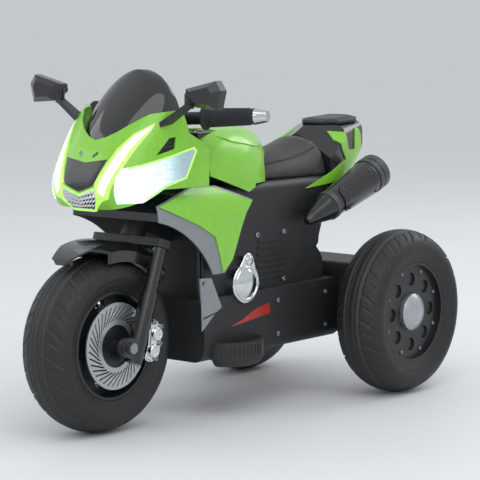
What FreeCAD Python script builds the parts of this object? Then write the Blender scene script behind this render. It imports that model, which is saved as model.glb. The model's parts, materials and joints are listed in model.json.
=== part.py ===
import FreeCAD, Part
import math
import os

import Sketcher
from FreeCAD import Placement, Rotation, Vector

# Child's electric three-wheel motorbike in millimetres. Forward is -Y, the rider's left is +X, +Z is up.
# The origin is on the ground, midway between the front and the rear axle.

doc = FreeCAD.newDocument("motorbike")
sheet = doc.addObject("Spreadsheet::Sheet", "Sizes")
pieces = []


class Dim:
    """A size together with the sheet formula that it comes from."""

    def __init__(self, value, text):
        self.value = float(value)
        self.text = text

    def __float__(self):
        return self.value

    def __add__(self, other):
        other = dim(other)
        return Dim(self.value + other.value, "(%s + %s)" % (self.text, other.text))

    def __sub__(self, other):
        other = dim(other)
        return Dim(self.value - other.value, "(%s - %s)" % (self.text, other.text))

    def __mul__(self, other):
        other = dim(other)
        return Dim(self.value * other.value, "(%s * %s)" % (self.text, other.text))

    def __truediv__(self, other):
        other = dim(other)
        return Dim(self.value / other.value, "(%s / %s)" % (self.text, other.text))

    def __neg__(self):
        return Dim(-self.value, "(0 - %s)" % self.text)

    def __radd__(self, other):
        return dim(other) + self

    def __rsub__(self, other):
        return dim(other) - self

    def __rmul__(self, other):
        return dim(other) * self


def dim(value):
    """A plain number as a Dim."""
    if isinstance(value, Dim):
        return value
    return Dim(value, "(%r)" % float(value))


def size(alias, value):
    """Writes one driving size into the sheet."""
    row = size.rows = getattr(size, "rows", 0) + 1
    sheet.set("A%d" % row, alias)
    sheet.set("B%d" % row, str(value))
    sheet.setAlias("B%d" % row, alias)
    return Dim(value, "Sizes." + alias)


# Wheels
wheelbase = size("wheelbase", 616)
track = size("track", 372)
front_dia = size("front_wheel_diameter", 300)
rear_dia = size("rear_wheel_diameter", 302)
front_tyre_width = size("front_tyre_width", 98)
rear_tyre_width = size("rear_tyre_width", 95)
bead_dia = size("bead_diameter", 184)
bead_tuck = size("bead_tuck", 11)
sidewall_height = size("sidewall_height", 34)
shoulder_drop = size("shoulder_drop", 11)
shoulder_round = size("shoulder_round", 22)
groove_offset = size("groove_offset", 15)
groove_width = size("groove_width", 4)
groove_depth = size("groove_depth", 3.5)
sipe_count = size("sipe_count", 30)
sipe_width = size("sipe_width", 3.6)
sipe_length = size("sipe_length", 20)
sipe_depth = size("sipe_depth", 3)
rim_wall = size("rim_wall", 5)
axle_dia = size("axle_diameter", 12)
axle_play = size("axle_play", 0.05)
front_hub_dia = size("front_hub_diameter", 86)
front_hub_width = size("front_hub_width", 81)
web_thickness = size("web_thickness", 10)
spacer_dia = size("spacer_diameter", 22)
web_hole_dia = size("web_hole_diameter", 24)
disc_dia = size("disc_diameter", 147)
disc_bore = size("disc_bore", 72)
disc_thickness = size("disc_thickness", 3)
slot_count = size("slot_count", 36)
slot_width = size("slot_width", 2.2)
slot_length = size("slot_length", 24)
rear_hub_dia = size("rear_hub_diameter", 48)
rear_hub_inboard = size("rear_hub_inboard", 52)
rear_face_inset = size("rear_face_inset", 20)
rear_web = size("rear_web", 8)
cap_dia = size("hub_cap_diameter", 68)
cap_height = size("hub_cap_height", 20)
cap_skirt = size("hub_cap_skirt", 7)
cap_wall = size("hub_cap_wall", 4)
nut_flats = size("nut_across_corners", 20)
nut_height = size("nut_height", 8)

# Steering
rake = size("rake_angle", 20)
fork_offset = size("fork_offset", 24)
fork_half = size("fork_half_spacing", 66)
slider_dia = size("slider_diameter", 30)
slider_top = size("slider_top", 100)
slider_foot = size("slider_foot", 22)
lug_dia = size("axle_lug_diameter", 34)
lug_width = size("axle_lug_width", 18)
stanchion_dia = size("stanchion_diameter", 24)
crown_base = size("crown_base", 178)
crown_thickness = size("crown_thickness", 14)
crown_margin = size("crown_margin", 5)
column_dia = size("column_diameter", 26)
column_play = size("column_play", 0.06)
end_gap = size("end_gap", 0.4)
head_tube_dia = size("head_tube_diameter", 42)
head_tube_length = size("head_tube_length", 106)
gusset_reach = size("gusset_reach", 96)
gusset_width = size("gusset_width", 30)
gusset_height = size("gusset_height", 76)
boss_dia = size("boss_diameter", 44)
boss_length = size("boss_length", 22)
bar_dia = size("bar_diameter", 22)
bar_level = size("bar_level", 406)
clamp_dia = size("clamp_diameter", 36)
clamp_depth = size("clamp_depth", 30)
bar_straight = size("bar_straight", 56)
bar_reach = size("bar_reach", 205)
bar_sweep = size("bar_sweep", 40)
bar_rise = size("bar_rise", 8)
grip_dia = size("grip_diameter", 33)
grip_length = size("grip_length", 96)
flange_dia = size("grip_flange_diameter", 42)
flange_width = size("grip_flange_width", 6)
bar_end_length = size("bar_end_length", 22)
bar_end_tip_dia = size("bar_end_tip_diameter", 20)
caliper_inner = size("caliper_inner", 36)
caliper_outer = size("caliper_outer", 84)
caliper_front = size("caliper_front", 14)
caliper_rear = size("caliper_rear", 76)
caliper_base = size("caliper_base", -14)
caliper_top = size("caliper_top", 62)
caliper_round = size("caliper_round", 8)
caliper_gap = size("caliper_gap", 1.5)

# Head fairing
nose_reach = size("nose_reach", 44)
nose_level = size("nose_level", 415)
head_half = size("head_half_width", 113)
head_back = size("head_back", 158)
head_top = size("head_top", 552)
head_low = size("head_low", 380)
nose_lean = size("nose_lean", 97)
nose_tuck = size("nose_tuck", 14)
bluntness = size("bluntness", 4.5)
shell_wall = size("shell_wall", 3)
lens_lift = size("lens_lift", 1.2)
bracket_level = size("bracket_level", 448)
bracket_plate = size("bracket_plate", 6)
fit_gap = size("fit_gap", 0.25)
screen_base = size("screen_base", 482)
screen_top = size("screen_top", 608)
screen_foot = size("screen_foot", 308)
screen_crest = size("screen_crest", 202)
screen_half = size("screen_half_width", 92)
screen_wall = size("screen_wall", 2.6)
mirror_out = size("mirror_out", 178)
mirror_level = size("mirror_level", 570)
mirror_width = size("mirror_width", 78)
mirror_height = size("mirror_height", 50)
mirror_depth = size("mirror_depth", 24)
mirror_glass = size("mirror_glass", 2)
stalk_width = size("stalk_width", 16)
stalk_thickness = size("stalk_thickness", 7)
pivot_dia = size("pivot_diameter", 8)
pivot_height = size("pivot_height", 14)
pivot_play = size("pivot_play", 0.08)

# Front fender
fender_gap = size("fender_gap", 22)
fender_wall = size("fender_wall", 3)
fender_half = size("fender_half_width", 50)
fender_front = size("fender_front_angle", 60)
fender_rear = size("fender_rear_angle", 138)
fender_skirt = size("fender_skirt", 30)
fender_tip_half = size("fender_tip_half_width", 18)

# Body
well_gap = size("well_gap", 14)
arch_radius = size("arch_radius", 212)
tub_base = size("tub_base", 104)
tub_top = size("tub_top", 214)
tub_half = size("tub_half_width", 97)
tub_front = size("tub_front", 182)
tub_rear = size("tub_rear", 240)
tub_wall = size("tub_wall", 3.5)
tub_round = size("tub_round", 18)
board_out = size("board_out", 140)
board_front = size("board_front", 122)
board_rear = size("board_rear", 2)
board_level = size("board_level", 136)
board_thickness = size("board_thickness", 44)
board_round = size("board_round", 16)
shell_half = size("shell_half_width", 82)
shell_top = size("shell_top", 402)
shell_front = size("shell_front", 136)
shell_rear = size("shell_rear", 236)
shell_round = size("shell_round", 14)
waist_depth = size("waist_depth", 36)
cowl_front = size("cowl_front", 262)
cowl_top = size("cowl_top", 398)
cowl_base = size("cowl_base", 358)
fairing_half = size("fairing_half_width", 102)
fairing_wall = size("fairing_wall", 3)
fairing_tuck = size("fairing_tuck", 28)
panel_lift = size("panel_lift", 2.4)
tank_top = size("tank_top", 501)
tank_front = size("tank_front", 112)
tank_rear = size("tank_rear", 116)
tank_half = size("tank_half_width", 88)
tank_rear_half = size("tank_rear_half_width", 30)
tank_skirt = size("tank_skirt", 384)
seat_front = size("seat_front", 54)
seat_rear = size("seat_rear", 236)
seat_base = size("seat_base", 402)
seat_dip = size("seat_dip", 447)
seat_rise = size("seat_rise", 30)
seat_half = size("seat_half_width", 74)
tail_front = size("tail_front", 236)
tail_rear = size("tail_rear", 384)
tail_half = size("tail_half_width", 82)
tail_end_half = size("tail_end_half_width", 46)
tail_top = size("tail_top", 486)
tail_base = size("tail_base", 346)
tail_lift = size("tail_lift", 84)
tail_slant_half = size("tail_slant_half_width", 50)
tail_slant_level = size("tail_slant_level", 450)
pad_front = size("pad_front", 284)
pad_rear = size("pad_rear", 381)
pad_half = size("pad_half_width", 44)
pad_thickness = size("pad_thickness", 9)
muffler_out = size("muffler_out", 113)
muffler_front = size("muffler_front", 122)
muffler_level = size("muffler_level", 327.3)
muffler_length = size("muffler_length", 230)
muffler_tilt = size("muffler_tilt", 20)
muffler_front_dia = size("muffler_front_diameter", 50)
muffler_rear_dia = size("muffler_rear_diameter", 66)
muffler_cap = size("muffler_cap_length", 20)
muffler_hole = size("muffler_hole_diameter", 34)
cover_dia = size("engine_cover_diameter", 72)
cover_neck = size("engine_cover_neck", 30)
cover_rise = size("engine_cover_rise", 38)
cover_depth = size("engine_cover_depth", 14)
cover_ahead = size("engine_cover_ahead", 38)
cover_level = size("engine_cover_level", 232)

# Rear end
housing_front = size("housing_front", 240)
housing_rear = size("housing_rear", 366)
housing_half = size("housing_half_width", 128)
housing_base = size("housing_base", 108)
housing_top = size("housing_top", 240)
housing_wall = size("housing_wall", 4)
housing_round = size("housing_round", 16)
gearbox_width = size("gearbox_width", 34)
gearbox_length = size("gearbox_length", 92)
gearbox_height = size("gearbox_height", 84)
motor_dia = size("motor_diameter", 36)
motor_length = size("motor_length", 58)

# Inside and controls
battery_length = size("battery_length", 151)
battery_width = size("battery_width", 65)
battery_height = size("battery_height", 94)
battery_ahead = size("battery_ahead", 40)
speaker_dia = size("speaker_diameter", 66)
speaker_depth = size("speaker_depth", 22)
dash_length = size("dash_length", 50)
dash_width = size("dash_width", 76)
dash_thickness = size("dash_thickness", 16)
dash_level = size("dash_level", 496)
dash_centre = size("dash_centre", 66)
button_dia = size("button_diameter", 15)
button_height = size("button_height", 9)
button_play = size("button_play", 0.4)
button_stroke = size("button_stroke", 2)
rocker_length = size("rocker_length", 20)
rocker_width = size("rocker_width", 12)
pedal_length = size("pedal_length", 62)
pedal_width = size("pedal_width", 24)
pedal_lug = size("pedal_lug", 4)
pedal_y = size("pedal_pivot_y", -34)
pedal_z = size("pedal_pivot_z", 146)
pedal_thickness = size("pedal_thickness", 5)
pedal_tilt = size("pedal_tilt", 14)
pedal_pin_dia = size("pedal_pin_diameter", 5)
screw_dia = size("screw_diameter", 9)
screw_height = size("screw_height", 2.4)

doc.recompute()

AXES = {
    "x": (Vector(0, 1, 0), 90),
    "y": (Vector(-1, 0, 0), 90),
    "z": (Vector(0, 0, 1), 0),
}


def bind(obj, **props):
    """Ties properties of an object to the sheet."""
    for prop, value in props.items():
        obj.setExpression(prop, dim(value).text)


def place(obj, x=0, y=0, z=0):
    """Ties the position of an object to the sheet."""
    for name, value in (("x", x), ("y", y), ("z", z)):
        obj.setExpression("Placement.Base." + name, dim(value).text)
    return obj


def raked(obj, x=0):
    """Puts an object built with the front axle at its origin and the fork along Z into the raked fork."""
    obj.Placement = Placement(Vector(), Rotation(Vector(-1, 0, 0), float(rake)))
    obj.setExpression("Placement.Rotation.Angle", rake.text)
    return place(obj, x, -wheelbase / 2, front_dia / 2)


def rod(name, diameter, length, x=0, y=0, z=0, axis="z"):
    """A cylinder that starts at x, y, z and runs along an axis."""
    obj = doc.addObject("Part::Cylinder", name)
    bind(obj, Radius=diameter / 2, Height=length)
    obj.Placement = Placement(Vector(), Rotation(*AXES[axis]))
    return place(obj, x, y, z)


def block(name, dx, dy, dz, x=0, y=0, z=0):
    """A box with its lowest corner at x, y, z."""
    obj = doc.addObject("Part::Box", name)
    bind(obj, Length=dx, Width=dy, Height=dz)
    return place(obj, x, y, z)


def cone(name, start_dia, end_dia, length, x=0, y=0, z=0, axis="z"):
    """A cone frustum that starts at x, y, z and runs along an axis."""
    obj = doc.addObject("Part::Cone", name)
    bind(obj, Radius1=start_dia / 2, Radius2=end_dia / 2, Height=length)
    obj.Placement = Placement(Vector(), Rotation(*AXES[axis]))
    return place(obj, x, y, z)


def rounded(name, source, radius, keep):
    """Rounds those straight edges of an object that keep(edge) picks."""
    doc.recompute()
    edges = [i for i, edge in enumerate(source.Shape.Edges, 1) if keep(edge)]
    obj = doc.addObject("Part::Fillet", name)
    obj.Base = source
    obj.Edges = [(i, float(radius), float(radius)) for i in edges]
    return obj


def along(axis):
    """A picker of straight edges along an axis."""
    index = "xyz".index(axis)

    def keep(edge):
        return abs(abs(edge.tangentAt(edge.FirstParameter)[index]) - 1) < 1e-6

    return keep


def fuse(name, *parts):
    obj = doc.addObject("Part::MultiFuse", name)
    obj.Shapes = list(parts)
    return obj


def cut(name, base, *tools):
    obj = doc.addObject("Part::Cut", name)
    obj.Base = base
    obj.Tool = tools[0] if len(tools) == 1 else fuse(name + "_tools", *tools)
    return obj


def common(name, one, other):
    obj = doc.addObject("Part::Common", name)
    obj.Base = one
    obj.Tool = other
    return obj


def mirrored(name, source):
    """The copy of an object on the other side of the bike."""
    obj = doc.addObject("Part::Mirroring", name)
    obj.Source = source
    obj.Normal = Vector(1, 0, 0)
    return obj


def group(name, *parts):
    obj = doc.addObject("Part::Compound", name)
    obj.Links = list(parts)
    return obj


def formed(name, shape):
    """An object whose free-form shape is made from the sheet's values."""
    obj = doc.addObject("Part::Feature", name)
    obj.Shape = shape
    return obj


def piece(node, obj):
    """Names an object as one of the pieces to write."""
    obj.Label = node
    pieces.append((node, obj))
    return obj


def pair(node, obj):
    """A left piece and its mirrored right piece as two nodes."""
    piece(node + "_left", obj)
    piece(node + "_right", mirrored(node + "_copy", obj))


def couple(node, obj):
    """A left piece and its mirrored right piece as one node."""
    piece(node, group(node + "_group", obj, mirrored(node + "_copy", obj)))


def plane_of(body, role):
    return [item for item in body.Origin.OriginFeatures if item.Role == role][0]


def sketch(body, name, role="XY_Plane"):
    """A new sketch on an origin plane of a body."""
    drawing = body.newObject("Sketcher::SketchObject", name)
    drawing.AttachmentSupport = [(plane_of(body, role), "")]
    drawing.MapMode = "FlatFace"
    return drawing


def outline(drawing, corners):
    """Draws a closed outline whose corners follow the sheet.

    A corner is (x, y) or (x, y, radius), where the radius bulges the edge to the next corner outwards.
    """
    points = [Vector(float(c[0]), float(c[1]), 0) for c in corners]
    count = len(points)
    for i, corner in enumerate(corners):
        start, end = points[i], points[(i + 1) % count]
        if len(corner) == 3:
            chord = end - start
            radius = float(corner[2])
            rise = radius - math.sqrt(radius * radius - chord.Length * chord.Length / 4)
            out = Vector(chord.y, -chord.x, 0).normalize()
            drawing.addGeometry(Part.Arc(start, (start + end) / 2 + out * rise, end), False)
        else:
            drawing.addGeometry(Part.LineSegment(start, end), False)

    def first_end(i):
        return 1 if (drawing.Geometry[i].StartPoint - points[i]).Length < 1e-4 else 2

    ends = [first_end(i) for i in range(count)]
    for i in range(count):
        after = (i + 1) % count
        drawing.addConstraint(Sketcher.Constraint("Coincident", i, 3 - ends[i], after, ends[after]))
    for i, corner in enumerate(corners):
        for kind, value in (("DistanceX", corner[0]), ("DistanceY", corner[1])):
            value = dim(value)
            row = drawing.addConstraint(Sketcher.Constraint(kind, -1, 1, i, ends[i], value.value))
            drawing.setExpression("Constraints[%d]" % row, value.text)
        if len(corner) == 3:
            value = dim(corner[2])
            row = drawing.addConstraint(Sketcher.Constraint("Radius", i, value.value))
            drawing.setExpression("Constraints[%d]" % row, value.text)


def ring(drawing, diameter, x=0, y=0):
    """Draws a circle whose size and place follow the sheet."""
    diameter, x, y = dim(diameter), dim(x), dim(y)
    index = drawing.addGeometry(Part.Circle(Vector(x.value, y.value, 0), Vector(0, 0, 1), diameter.value / 2), False)
    rows = [drawing.addConstraint(Sketcher.Constraint("Diameter", index, diameter.value))]
    rows.append(drawing.addConstraint(Sketcher.Constraint("DistanceX", -1, 1, index, 3, x.value)))
    rows.append(drawing.addConstraint(Sketcher.Constraint("DistanceY", -1, 1, index, 3, y.value)))
    for row, value in zip(rows, (diameter, x, y)):
        drawing.setExpression("Constraints[%d]" % row, value.text)


def turned(name, corners):
    """A body turned about its X axis from an outline of (along X, radius) corners."""
    body = doc.addObject("PartDesign::Body", name)
    drawing = sketch(body, name + "_profile")
    outline(drawing, corners)
    turn = body.newObject("PartDesign::Revolution", name + "_turn")
    turn.Profile = drawing
    turn.ReferenceAxis = (drawing, ["H_Axis"])
    turn.Angle = 360
    return body


def around_x(body, name, features, count):
    """Repeats cuts of a body round its X axis."""
    doc.recompute()
    pattern = body.newObject("PartDesign::PolarPattern", name)
    pattern.Originals = features
    pattern.Axis = (plane_of(body, "X_Axis"), [""])
    pattern.Angle = 360
    bind(pattern, Occurrences=count)
    body.Tip = pattern
    return pattern


def pocket(body, name, drawing, depth, reverse=False, both=False):
    """Cuts an outline into a body."""
    hole = body.newObject("PartDesign::Pocket", name)
    hole.Profile = drawing
    bind(hole, Length=depth)
    hole.Reversed = reverse
    hole.Midplane = both
    return hole


def tyre(name, diameter, width):
    """A tyre about its own X axis: rounded tread, two grooves round it and slanted sipes on both shoulders."""
    bead_half = width / 2 - bead_tuck
    side = diameter / 2 - sidewall_height
    shoulder = diameter / 2 - shoulder_drop
    crown = (bead_half * bead_half + shoulder_drop * shoulder_drop) / (2 * shoulder_drop)
    body = turned(
        name,
        [
            (-bead_half, bead_dia / 2),
            (bead_half, bead_dia / 2),
            (width / 2, side, shoulder_round),
            (bead_half, shoulder, crown),
            (-bead_half, shoulder, shoulder_round),
            (-width / 2, side),
        ],
    )
    for sign, label in ((1, "left"), (-1, "right")):
        drawing = sketch(body, "%s_groove_%s" % (name, label))
        low = diameter / 2 - groove_depth
        high = diameter / 2 + groove_depth
        inner = groove_offset * sign - groove_width / 2
        outer = groove_offset * sign + groove_width / 2
        outline(drawing, [(inner, low), (outer, low), (outer, high), (inner, high)])
        groove = body.newObject("PartDesign::Groove", "%s_ring_%s" % (name, label))
        groove.Profile = drawing
        groove.ReferenceAxis = (drawing, ["H_Axis"])
        groove.Angle = 360
    slope = math.degrees(math.asin(float(bead_half) / 2 / float(crown))) + 12
    start = groove_offset + groove_width / 2
    cuts = []
    for sign, label in ((1, "left"), (-1, "right")):
        drawing = sketch(body, "%s_sipe_%s" % (name, label))
        drawing.AttachmentOffset = Placement(Vector(), Rotation(Vector(0, 1, 0), sign * slope))
        drawing.setExpression("AttachmentOffset.Base.x", (start * sign).text)
        drawing.setExpression("AttachmentOffset.Base.z", (diameter / 2 - sipe_depth).text)
        lead = sipe_length / 3
        corners = [
            (dim(2) * sign, -sipe_width / 2),
            ((sipe_length + 4) * sign, lead - sipe_width / 2),
            ((sipe_length + 4) * sign, lead + sipe_width / 2),
            (dim(2) * sign, sipe_width / 2),
        ]
        outline(drawing, corners)
        cuts.append(pocket(body, "%s_cut_%s" % (name, label), drawing, sipe_depth * 3, reverse=True))
    around_x(body, name + "_tread", cuts, sipe_count)
    return body


def front_wheel():
    """Front tyre, rim and the pair of brake discs."""
    wheel = (0, -wheelbase / 2, front_dia / 2)
    piece("front_tyre", place(tyre("front_tyre_body", front_dia, front_tyre_width), *wheel))

    bore = axle_dia / 2 + axle_play
    hub = front_hub_width / 2
    half = front_tyre_width / 2 - bead_tuck
    inner = bead_dia / 2 - rim_wall
    web = web_thickness / 2
    spacer = fork_half - lug_width / 2 - end_gap
    corners = [(-spacer, bore), (spacer, bore), (spacer, spacer_dia / 2), (hub, spacer_dia / 2)]
    corners += [(hub, front_hub_dia / 2), (web, front_hub_dia / 2), (web, inner), (half, inner)]
    corners += [(half, bead_dia / 2), (-half, bead_dia / 2), (-half, inner), (-web, inner)]
    corners += [(-web, front_hub_dia / 2), (-hub, front_hub_dia / 2)]
    corners += [(-hub, spacer_dia / 2), (-spacer, spacer_dia / 2)]
    rim = turned("front_rim_body", corners)
    drawing = sketch(rim, "front_rim_hole", "YZ_Plane")
    ring(drawing, web_hole_dia, 0, (inner + front_hub_dia / 2) / 2)
    hole = pocket(rim, "front_rim_cut", drawing, web_thickness * 2, both=True)
    around_x(rim, "front_rim_holes", [hole], 6)
    piece("front_rim", place(rim, *wheel))

    disc = doc.addObject("PartDesign::Body", "disc_body")
    drawing = sketch(disc, "disc_rings", "YZ_Plane")
    ring(drawing, disc_dia)
    ring(drawing, disc_bore)
    pad = disc.newObject("PartDesign::Pad", "disc_pad")
    pad.Profile = drawing
    bind(pad, Length=disc_thickness)
    drawing = sketch(disc, "disc_slot", "YZ_Plane")
    mid = (disc_dia + disc_bore) / 4
    low = mid - slot_length / 2
    high = mid + slot_length / 2
    lean = slot_length / 2
    corners = [(-lean - slot_width, low), (-lean + slot_width / 2, low)]
    corners += [(lean + slot_width / 2, high), (lean - slot_width, high)]
    outline(drawing, corners)
    slot = pocket(disc, "disc_cut", drawing, disc_thickness * 4, both=True)
    around_x(disc, "disc_slots", [slot], slot_count)
    place(disc, front_hub_width / 2, wheel[1], wheel[2])
    couple("brake_discs", disc)


def rear_wheels():
    """Rear tyres, rims and hub caps, and the axle with its nuts."""
    wheel = (track / 2, wheelbase / 2, rear_dia / 2)
    rubber = place(tyre("rear_tyre_body", rear_dia, rear_tyre_width), *wheel)
    pair("rear_tyre", rubber)

    bore = axle_dia / 2 + axle_play
    half = rear_tyre_width / 2 - bead_tuck
    inner = bead_dia / 2 - rim_wall
    face = rear_tyre_width / 2 - rear_face_inset
    back = face - rear_web
    corners = [(-rear_hub_inboard, bore), (face, bore), (face, inner), (half, inner), (half, bead_dia / 2)]
    corners += [(-half, bead_dia / 2), (-half, inner), (back, inner)]
    corners += [(back, rear_hub_dia / 2), (-rear_hub_inboard, rear_hub_dia / 2)]
    rim = turned("rear_rim_body", corners)
    drawing = sketch(rim, "rear_rim_hollow", "YZ_Plane")
    drawing.AttachmentOffset = Placement(Vector(), Rotation())
    drawing.setExpression("AttachmentOffset.Base.z", (face - rear_web / 2).text)
    ring(drawing, web_hole_dia, 0, (inner + cap_dia / 2) / 2)
    hollow = pocket(rim, "rear_rim_cut", drawing, rear_web, reverse=True)
    around_x(rim, "rear_rim_hollows", [hollow], 8)
    pair("rear_rim", place(rim, *wheel))

    rise = cap_height - cap_skirt
    dome = (rise * rise + cap_dia * cap_dia / 4) / (2 * rise)
    top = face + cap_height
    corners = [(face, cap_dia / 2 - cap_wall), (top - cap_wall - rise / 2, cap_dia / 2 - cap_wall)]
    corners += [(top - cap_wall, 0), (top, 0, dome * 1.001), (face + cap_skirt, cap_dia / 2), (face, cap_dia / 2)]
    pair("hub_cap", place(turned("hub_cap_body", corners), *wheel))

    reach = wheel[0] + face + nut_height + 2
    shaft = rod("rear_axle_rod", axle_dia, reach * 2, -reach, wheel[1], wheel[2], "x")
    nuts = []
    for start, label in ((1, "left"), (-1, "right")):
        nut = doc.addObject("Part::Prism", "rear_nut_" + label)
        nut.Polygon = 6
        bind(nut, Circumradius=nut_flats / 2, Height=nut_height)
        nut.Placement = Placement(Vector(), Rotation(Vector(0, start, 0), 90))
        nuts.append(place(nut, (wheel[0] + face + end_gap) * start, wheel[1], wheel[2]))
    piece("rear_axle", fuse("rear_axle_fuse", shaft, *nuts))


def spline(points):
    curve = Part.BSplineCurve()
    curve.interpolate(points)
    return curve.toShape()


def loop(points):
    """A closed smooth wire through points."""
    curve = Part.BSplineCurve()
    curve.interpolate(Points=points, PeriodicFlag=True)
    return Part.Wire([curve.toShape()])


def loft(wires):
    return Part.makeLoft(wires, True, False)


def prism(points, axis, low, high):
    """A straight solid over an outline of points in the plane across an axis."""
    index = "xyz".index(axis)

    def corner(a, b):
        values = [a, b]
        values.insert(index, low)
        return Vector(*values)

    corners = [corner(float(a), float(b)) for a, b in points]
    run = [0, 0, 0]
    run[index] = high - low
    return Part.Face(Part.makePolygon(corners + corners[:1])).extrude(Vector(*run))


def spread(count):
    """Values from -1 to 1, closer together near the ends."""
    return [math.sin(math.pi * (i / (count - 1) - 0.5)) for i in range(count)]


def steps(start, end, count):
    return [start + (end - start) * i / (count - 1) for i in range(count)]


def plan_wire(z, half, nose, back, power, closing):
    """A level section: a blunt nose curve closed by a straight line behind it."""
    points = []
    for s in spread(25):
        depth = math.sqrt(max(0.0, 1 - abs(s) ** power))
        points.append(Vector(half * s, back + (nose - back) * depth, z))
    if closing == back:
        return Part.Wire([spline(points), Part.LineSegment(points[-1], points[0]).toShape()])
    left, right = Vector(points[-1].x, closing, z), Vector(points[0].x, closing, z)
    lines = [Part.LineSegment(a, b).toShape() for a, b in ((points[-1], left), (left, right), (right, points[0]))]
    return Part.Wire([spline(points)] + lines)


def nose_at(z):
    """How far forward the head fairing reaches at a height."""
    nose = -float(wheelbase) / 2 - float(nose_reach)
    rise = (z - float(nose_level)) / (float(head_top) - float(nose_level))
    if rise >= 0:
        return nose + float(nose_lean) * rise ** 1.5
    drop = (float(nose_level) - z) / (float(nose_level) - float(head_low))
    return nose + float(nose_tuck) * drop ** 1.5


def head_solid(inset):
    """The head fairing's outer form, or the form that lies a wall deeper."""
    margin = float(shell_wall) * 2
    back = -float(wheelbase) / 2 + float(head_back)
    low, high = float(head_low) - margin, float(head_top) + margin
    if inset > 0:
        low, high = low - 1, high + 1
    wires = []
    for z in steps(low, high, 9):
        closing = back + (20 if inset > 0 else 0)
        half = float(head_half) - inset
        wires.append(plan_wire(z, half, nose_at(z) + inset, back, float(bluntness), closing))
    return loft(wires)


def head_outline(corners):
    """Corners given as parts of the head's length and height, from the low front, as (y, z)."""
    nose = -float(wheelbase) / 2 - float(nose_reach)
    length = float(nose_reach) + float(head_back)
    height = float(head_top) - float(head_low)
    return [(nose + length * u, float(head_low) + height * v) for u, v in corners]


def head_front(corners):
    """Corners given as parts of the head's half width and height, as (x, z)."""
    height = float(head_top) - float(head_low)
    return [(float(head_half) * u, float(head_low) + height * v) for u, v in corners]


def both(points):
    """An outline on the left with its mirrored outline on the right."""
    return [points, [(-a, b) for a, b in points]]


def head():
    """Head fairing with its nose panel, lamps, strips, windscreen and inner bracket."""
    wall = float(shell_wall)
    reach = float(head_half) * 2
    ahead = nose_at(float(nose_level)) - 20
    behind = -float(wheelbase) / 2 + float(head_back) + 30
    shell = head_solid(0).cut(head_solid(wall))
    skin = head_solid(-float(lens_lift)).cut(head_solid(wall))

    side = [(-0.2, 0.0), (0.06, 0.0), (0.27, 0.09), (0.46, 0.19), (1.0, 0.185), (1.03, 0.49), (0.95, 0.6)]
    side += [(0.76, 0.72), (0.73, 0.85), (0.68, 1.0), (-0.2, 1.0)]
    contour = prism(head_outline(side), "x", -reach, reach)

    top = [(0, 0.655), (0.18, 0.69), (0.33, 0.74), (0.5, 0.82), (0.68, 0.91), (1.2, 0.985), (1.2, 1.3)]
    rim = top + [(-a, b) for a, b in reversed(top) if a > 0]
    above = prism(head_front(rim), "y", ahead, behind)

    strip = [(0.31, 0.26), (0.39, 0.39), (0.5, 0.6), (0.62, 0.725), (0.79, 0.825), (0.785, 0.76), (0.735, 0.63)]
    strip += [(0.67, 0.45), (0.6, 0.27), (0.53, 0.12), (0.41, 0.09)]
    strips = [prism(points, "y", ahead, behind) for points in both(head_front(strip))]

    nose = [(0, 0.16), (0.325, 0.235), (0.385, 0.39), (0.44, 0.49), (0.2, 0.6), (0, 0.575)]
    nose_area = nose + [(-a, b) for a, b in reversed(nose) if a > 0]
    nose_prism = prism(head_front(nose_area), "y", ahead, behind)

    chin = [(0, 0.15), (0.34, 0.228), (0.4, 0.085), (0.24, 0.0), (0.2, -0.02), (0, -0.02)]
    chin_area = chin + [(-a, b) for a, b in reversed(chin) if a > 0]
    chin_prism = prism(head_front(chin_area), "y", ahead, behind)

    lamp = [(0.0, 0.07), (0.27, 0.075), (0.5, 0.215), (0.72, 0.275), (0.845, 0.545), (0.81, 0.585), (0.5, 0.5)]
    lamp += [(0.1, 0.4), (0.0, 0.4)]
    inboard = prism(head_front([(-0.62, -0.2), (0.62, -0.2), (0.62, 1.2), (-0.62, 1.2)]), "y", ahead, behind)
    lamp_prism = prism(head_outline(lamp), "x", -reach, reach)
    lamp_zone = lamp_prism.cut(inboard.fuse(strips))
    lenses = skin.common(lamp_zone)

    vent = [(0.41, 0.52), (0.6, 0.575), (0.62, 0.69), (0.55, 0.68)]
    vents = prism(head_outline(vent), "x", -reach, reach)

    slots = []
    for sign in (1, -1):
        nostril = [(0.09, 0.5), (0.13, 0.5), (0.19, 0.53), (0.17, 0.555), (0.1, 0.53)]
        slots.append(prism([(sign * a, b) for a, b in head_front(nostril)], "y", ahead, behind))

    body = shell.common(contour).cut(above)
    strip_shape = skin.common(strips[0].fuse(strips[1]))
    nose_shape = shell.common(nose_prism).cut(slots[0].fuse(slots[1])).cut(strips[0].fuse(strips[1]))
    chin_shape = skin.common(chin_prism).cut(strips[0].fuse(strips[1])).cut(nose_prism)
    mask = body.cut(strips[0].fuse([strips[1], nose_prism, chin_prism, lamp_zone, vents]))
    mask = Part.makeCompound([s for s in mask.Solids if s.Volume > 400])

    piece("head_fairing", formed("head_fairing_form", mask))
    piece("nose_panel", formed("nose_panel_form", nose_shape))
    piece("daylight_strips", formed("daylight_strips_form", strip_shape))
    piece("headlamp_lenses", formed("headlamp_lenses_form", lenses))
    piece("centre_lamp", formed("centre_lamp_form", chin_shape))
    windscreen()


def screen_solid(inset):
    """The windscreen's outer dome, or the dome that lies a wall deeper."""
    base, crest = float(screen_base), float(screen_top) - inset
    wires = []
    back = -float(screen_crest) + 12
    for t in (0.0, 0.12, 0.25, 0.4, 0.55, 0.7, 0.82, 0.91, 0.965, 0.995):
        z = base + (crest - base) * t
        nose = -float(screen_foot) + (float(screen_foot) - float(screen_crest)) * t ** 1.25 + inset
        half = (float(screen_half) - inset) * math.sqrt(1 - t ** 2.2)
        wires.append(plan_wire(z, half, min(nose, back - 2), back, 2.4, back + (9 if inset > 0 else 0)))
    return loft(wires)


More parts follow.
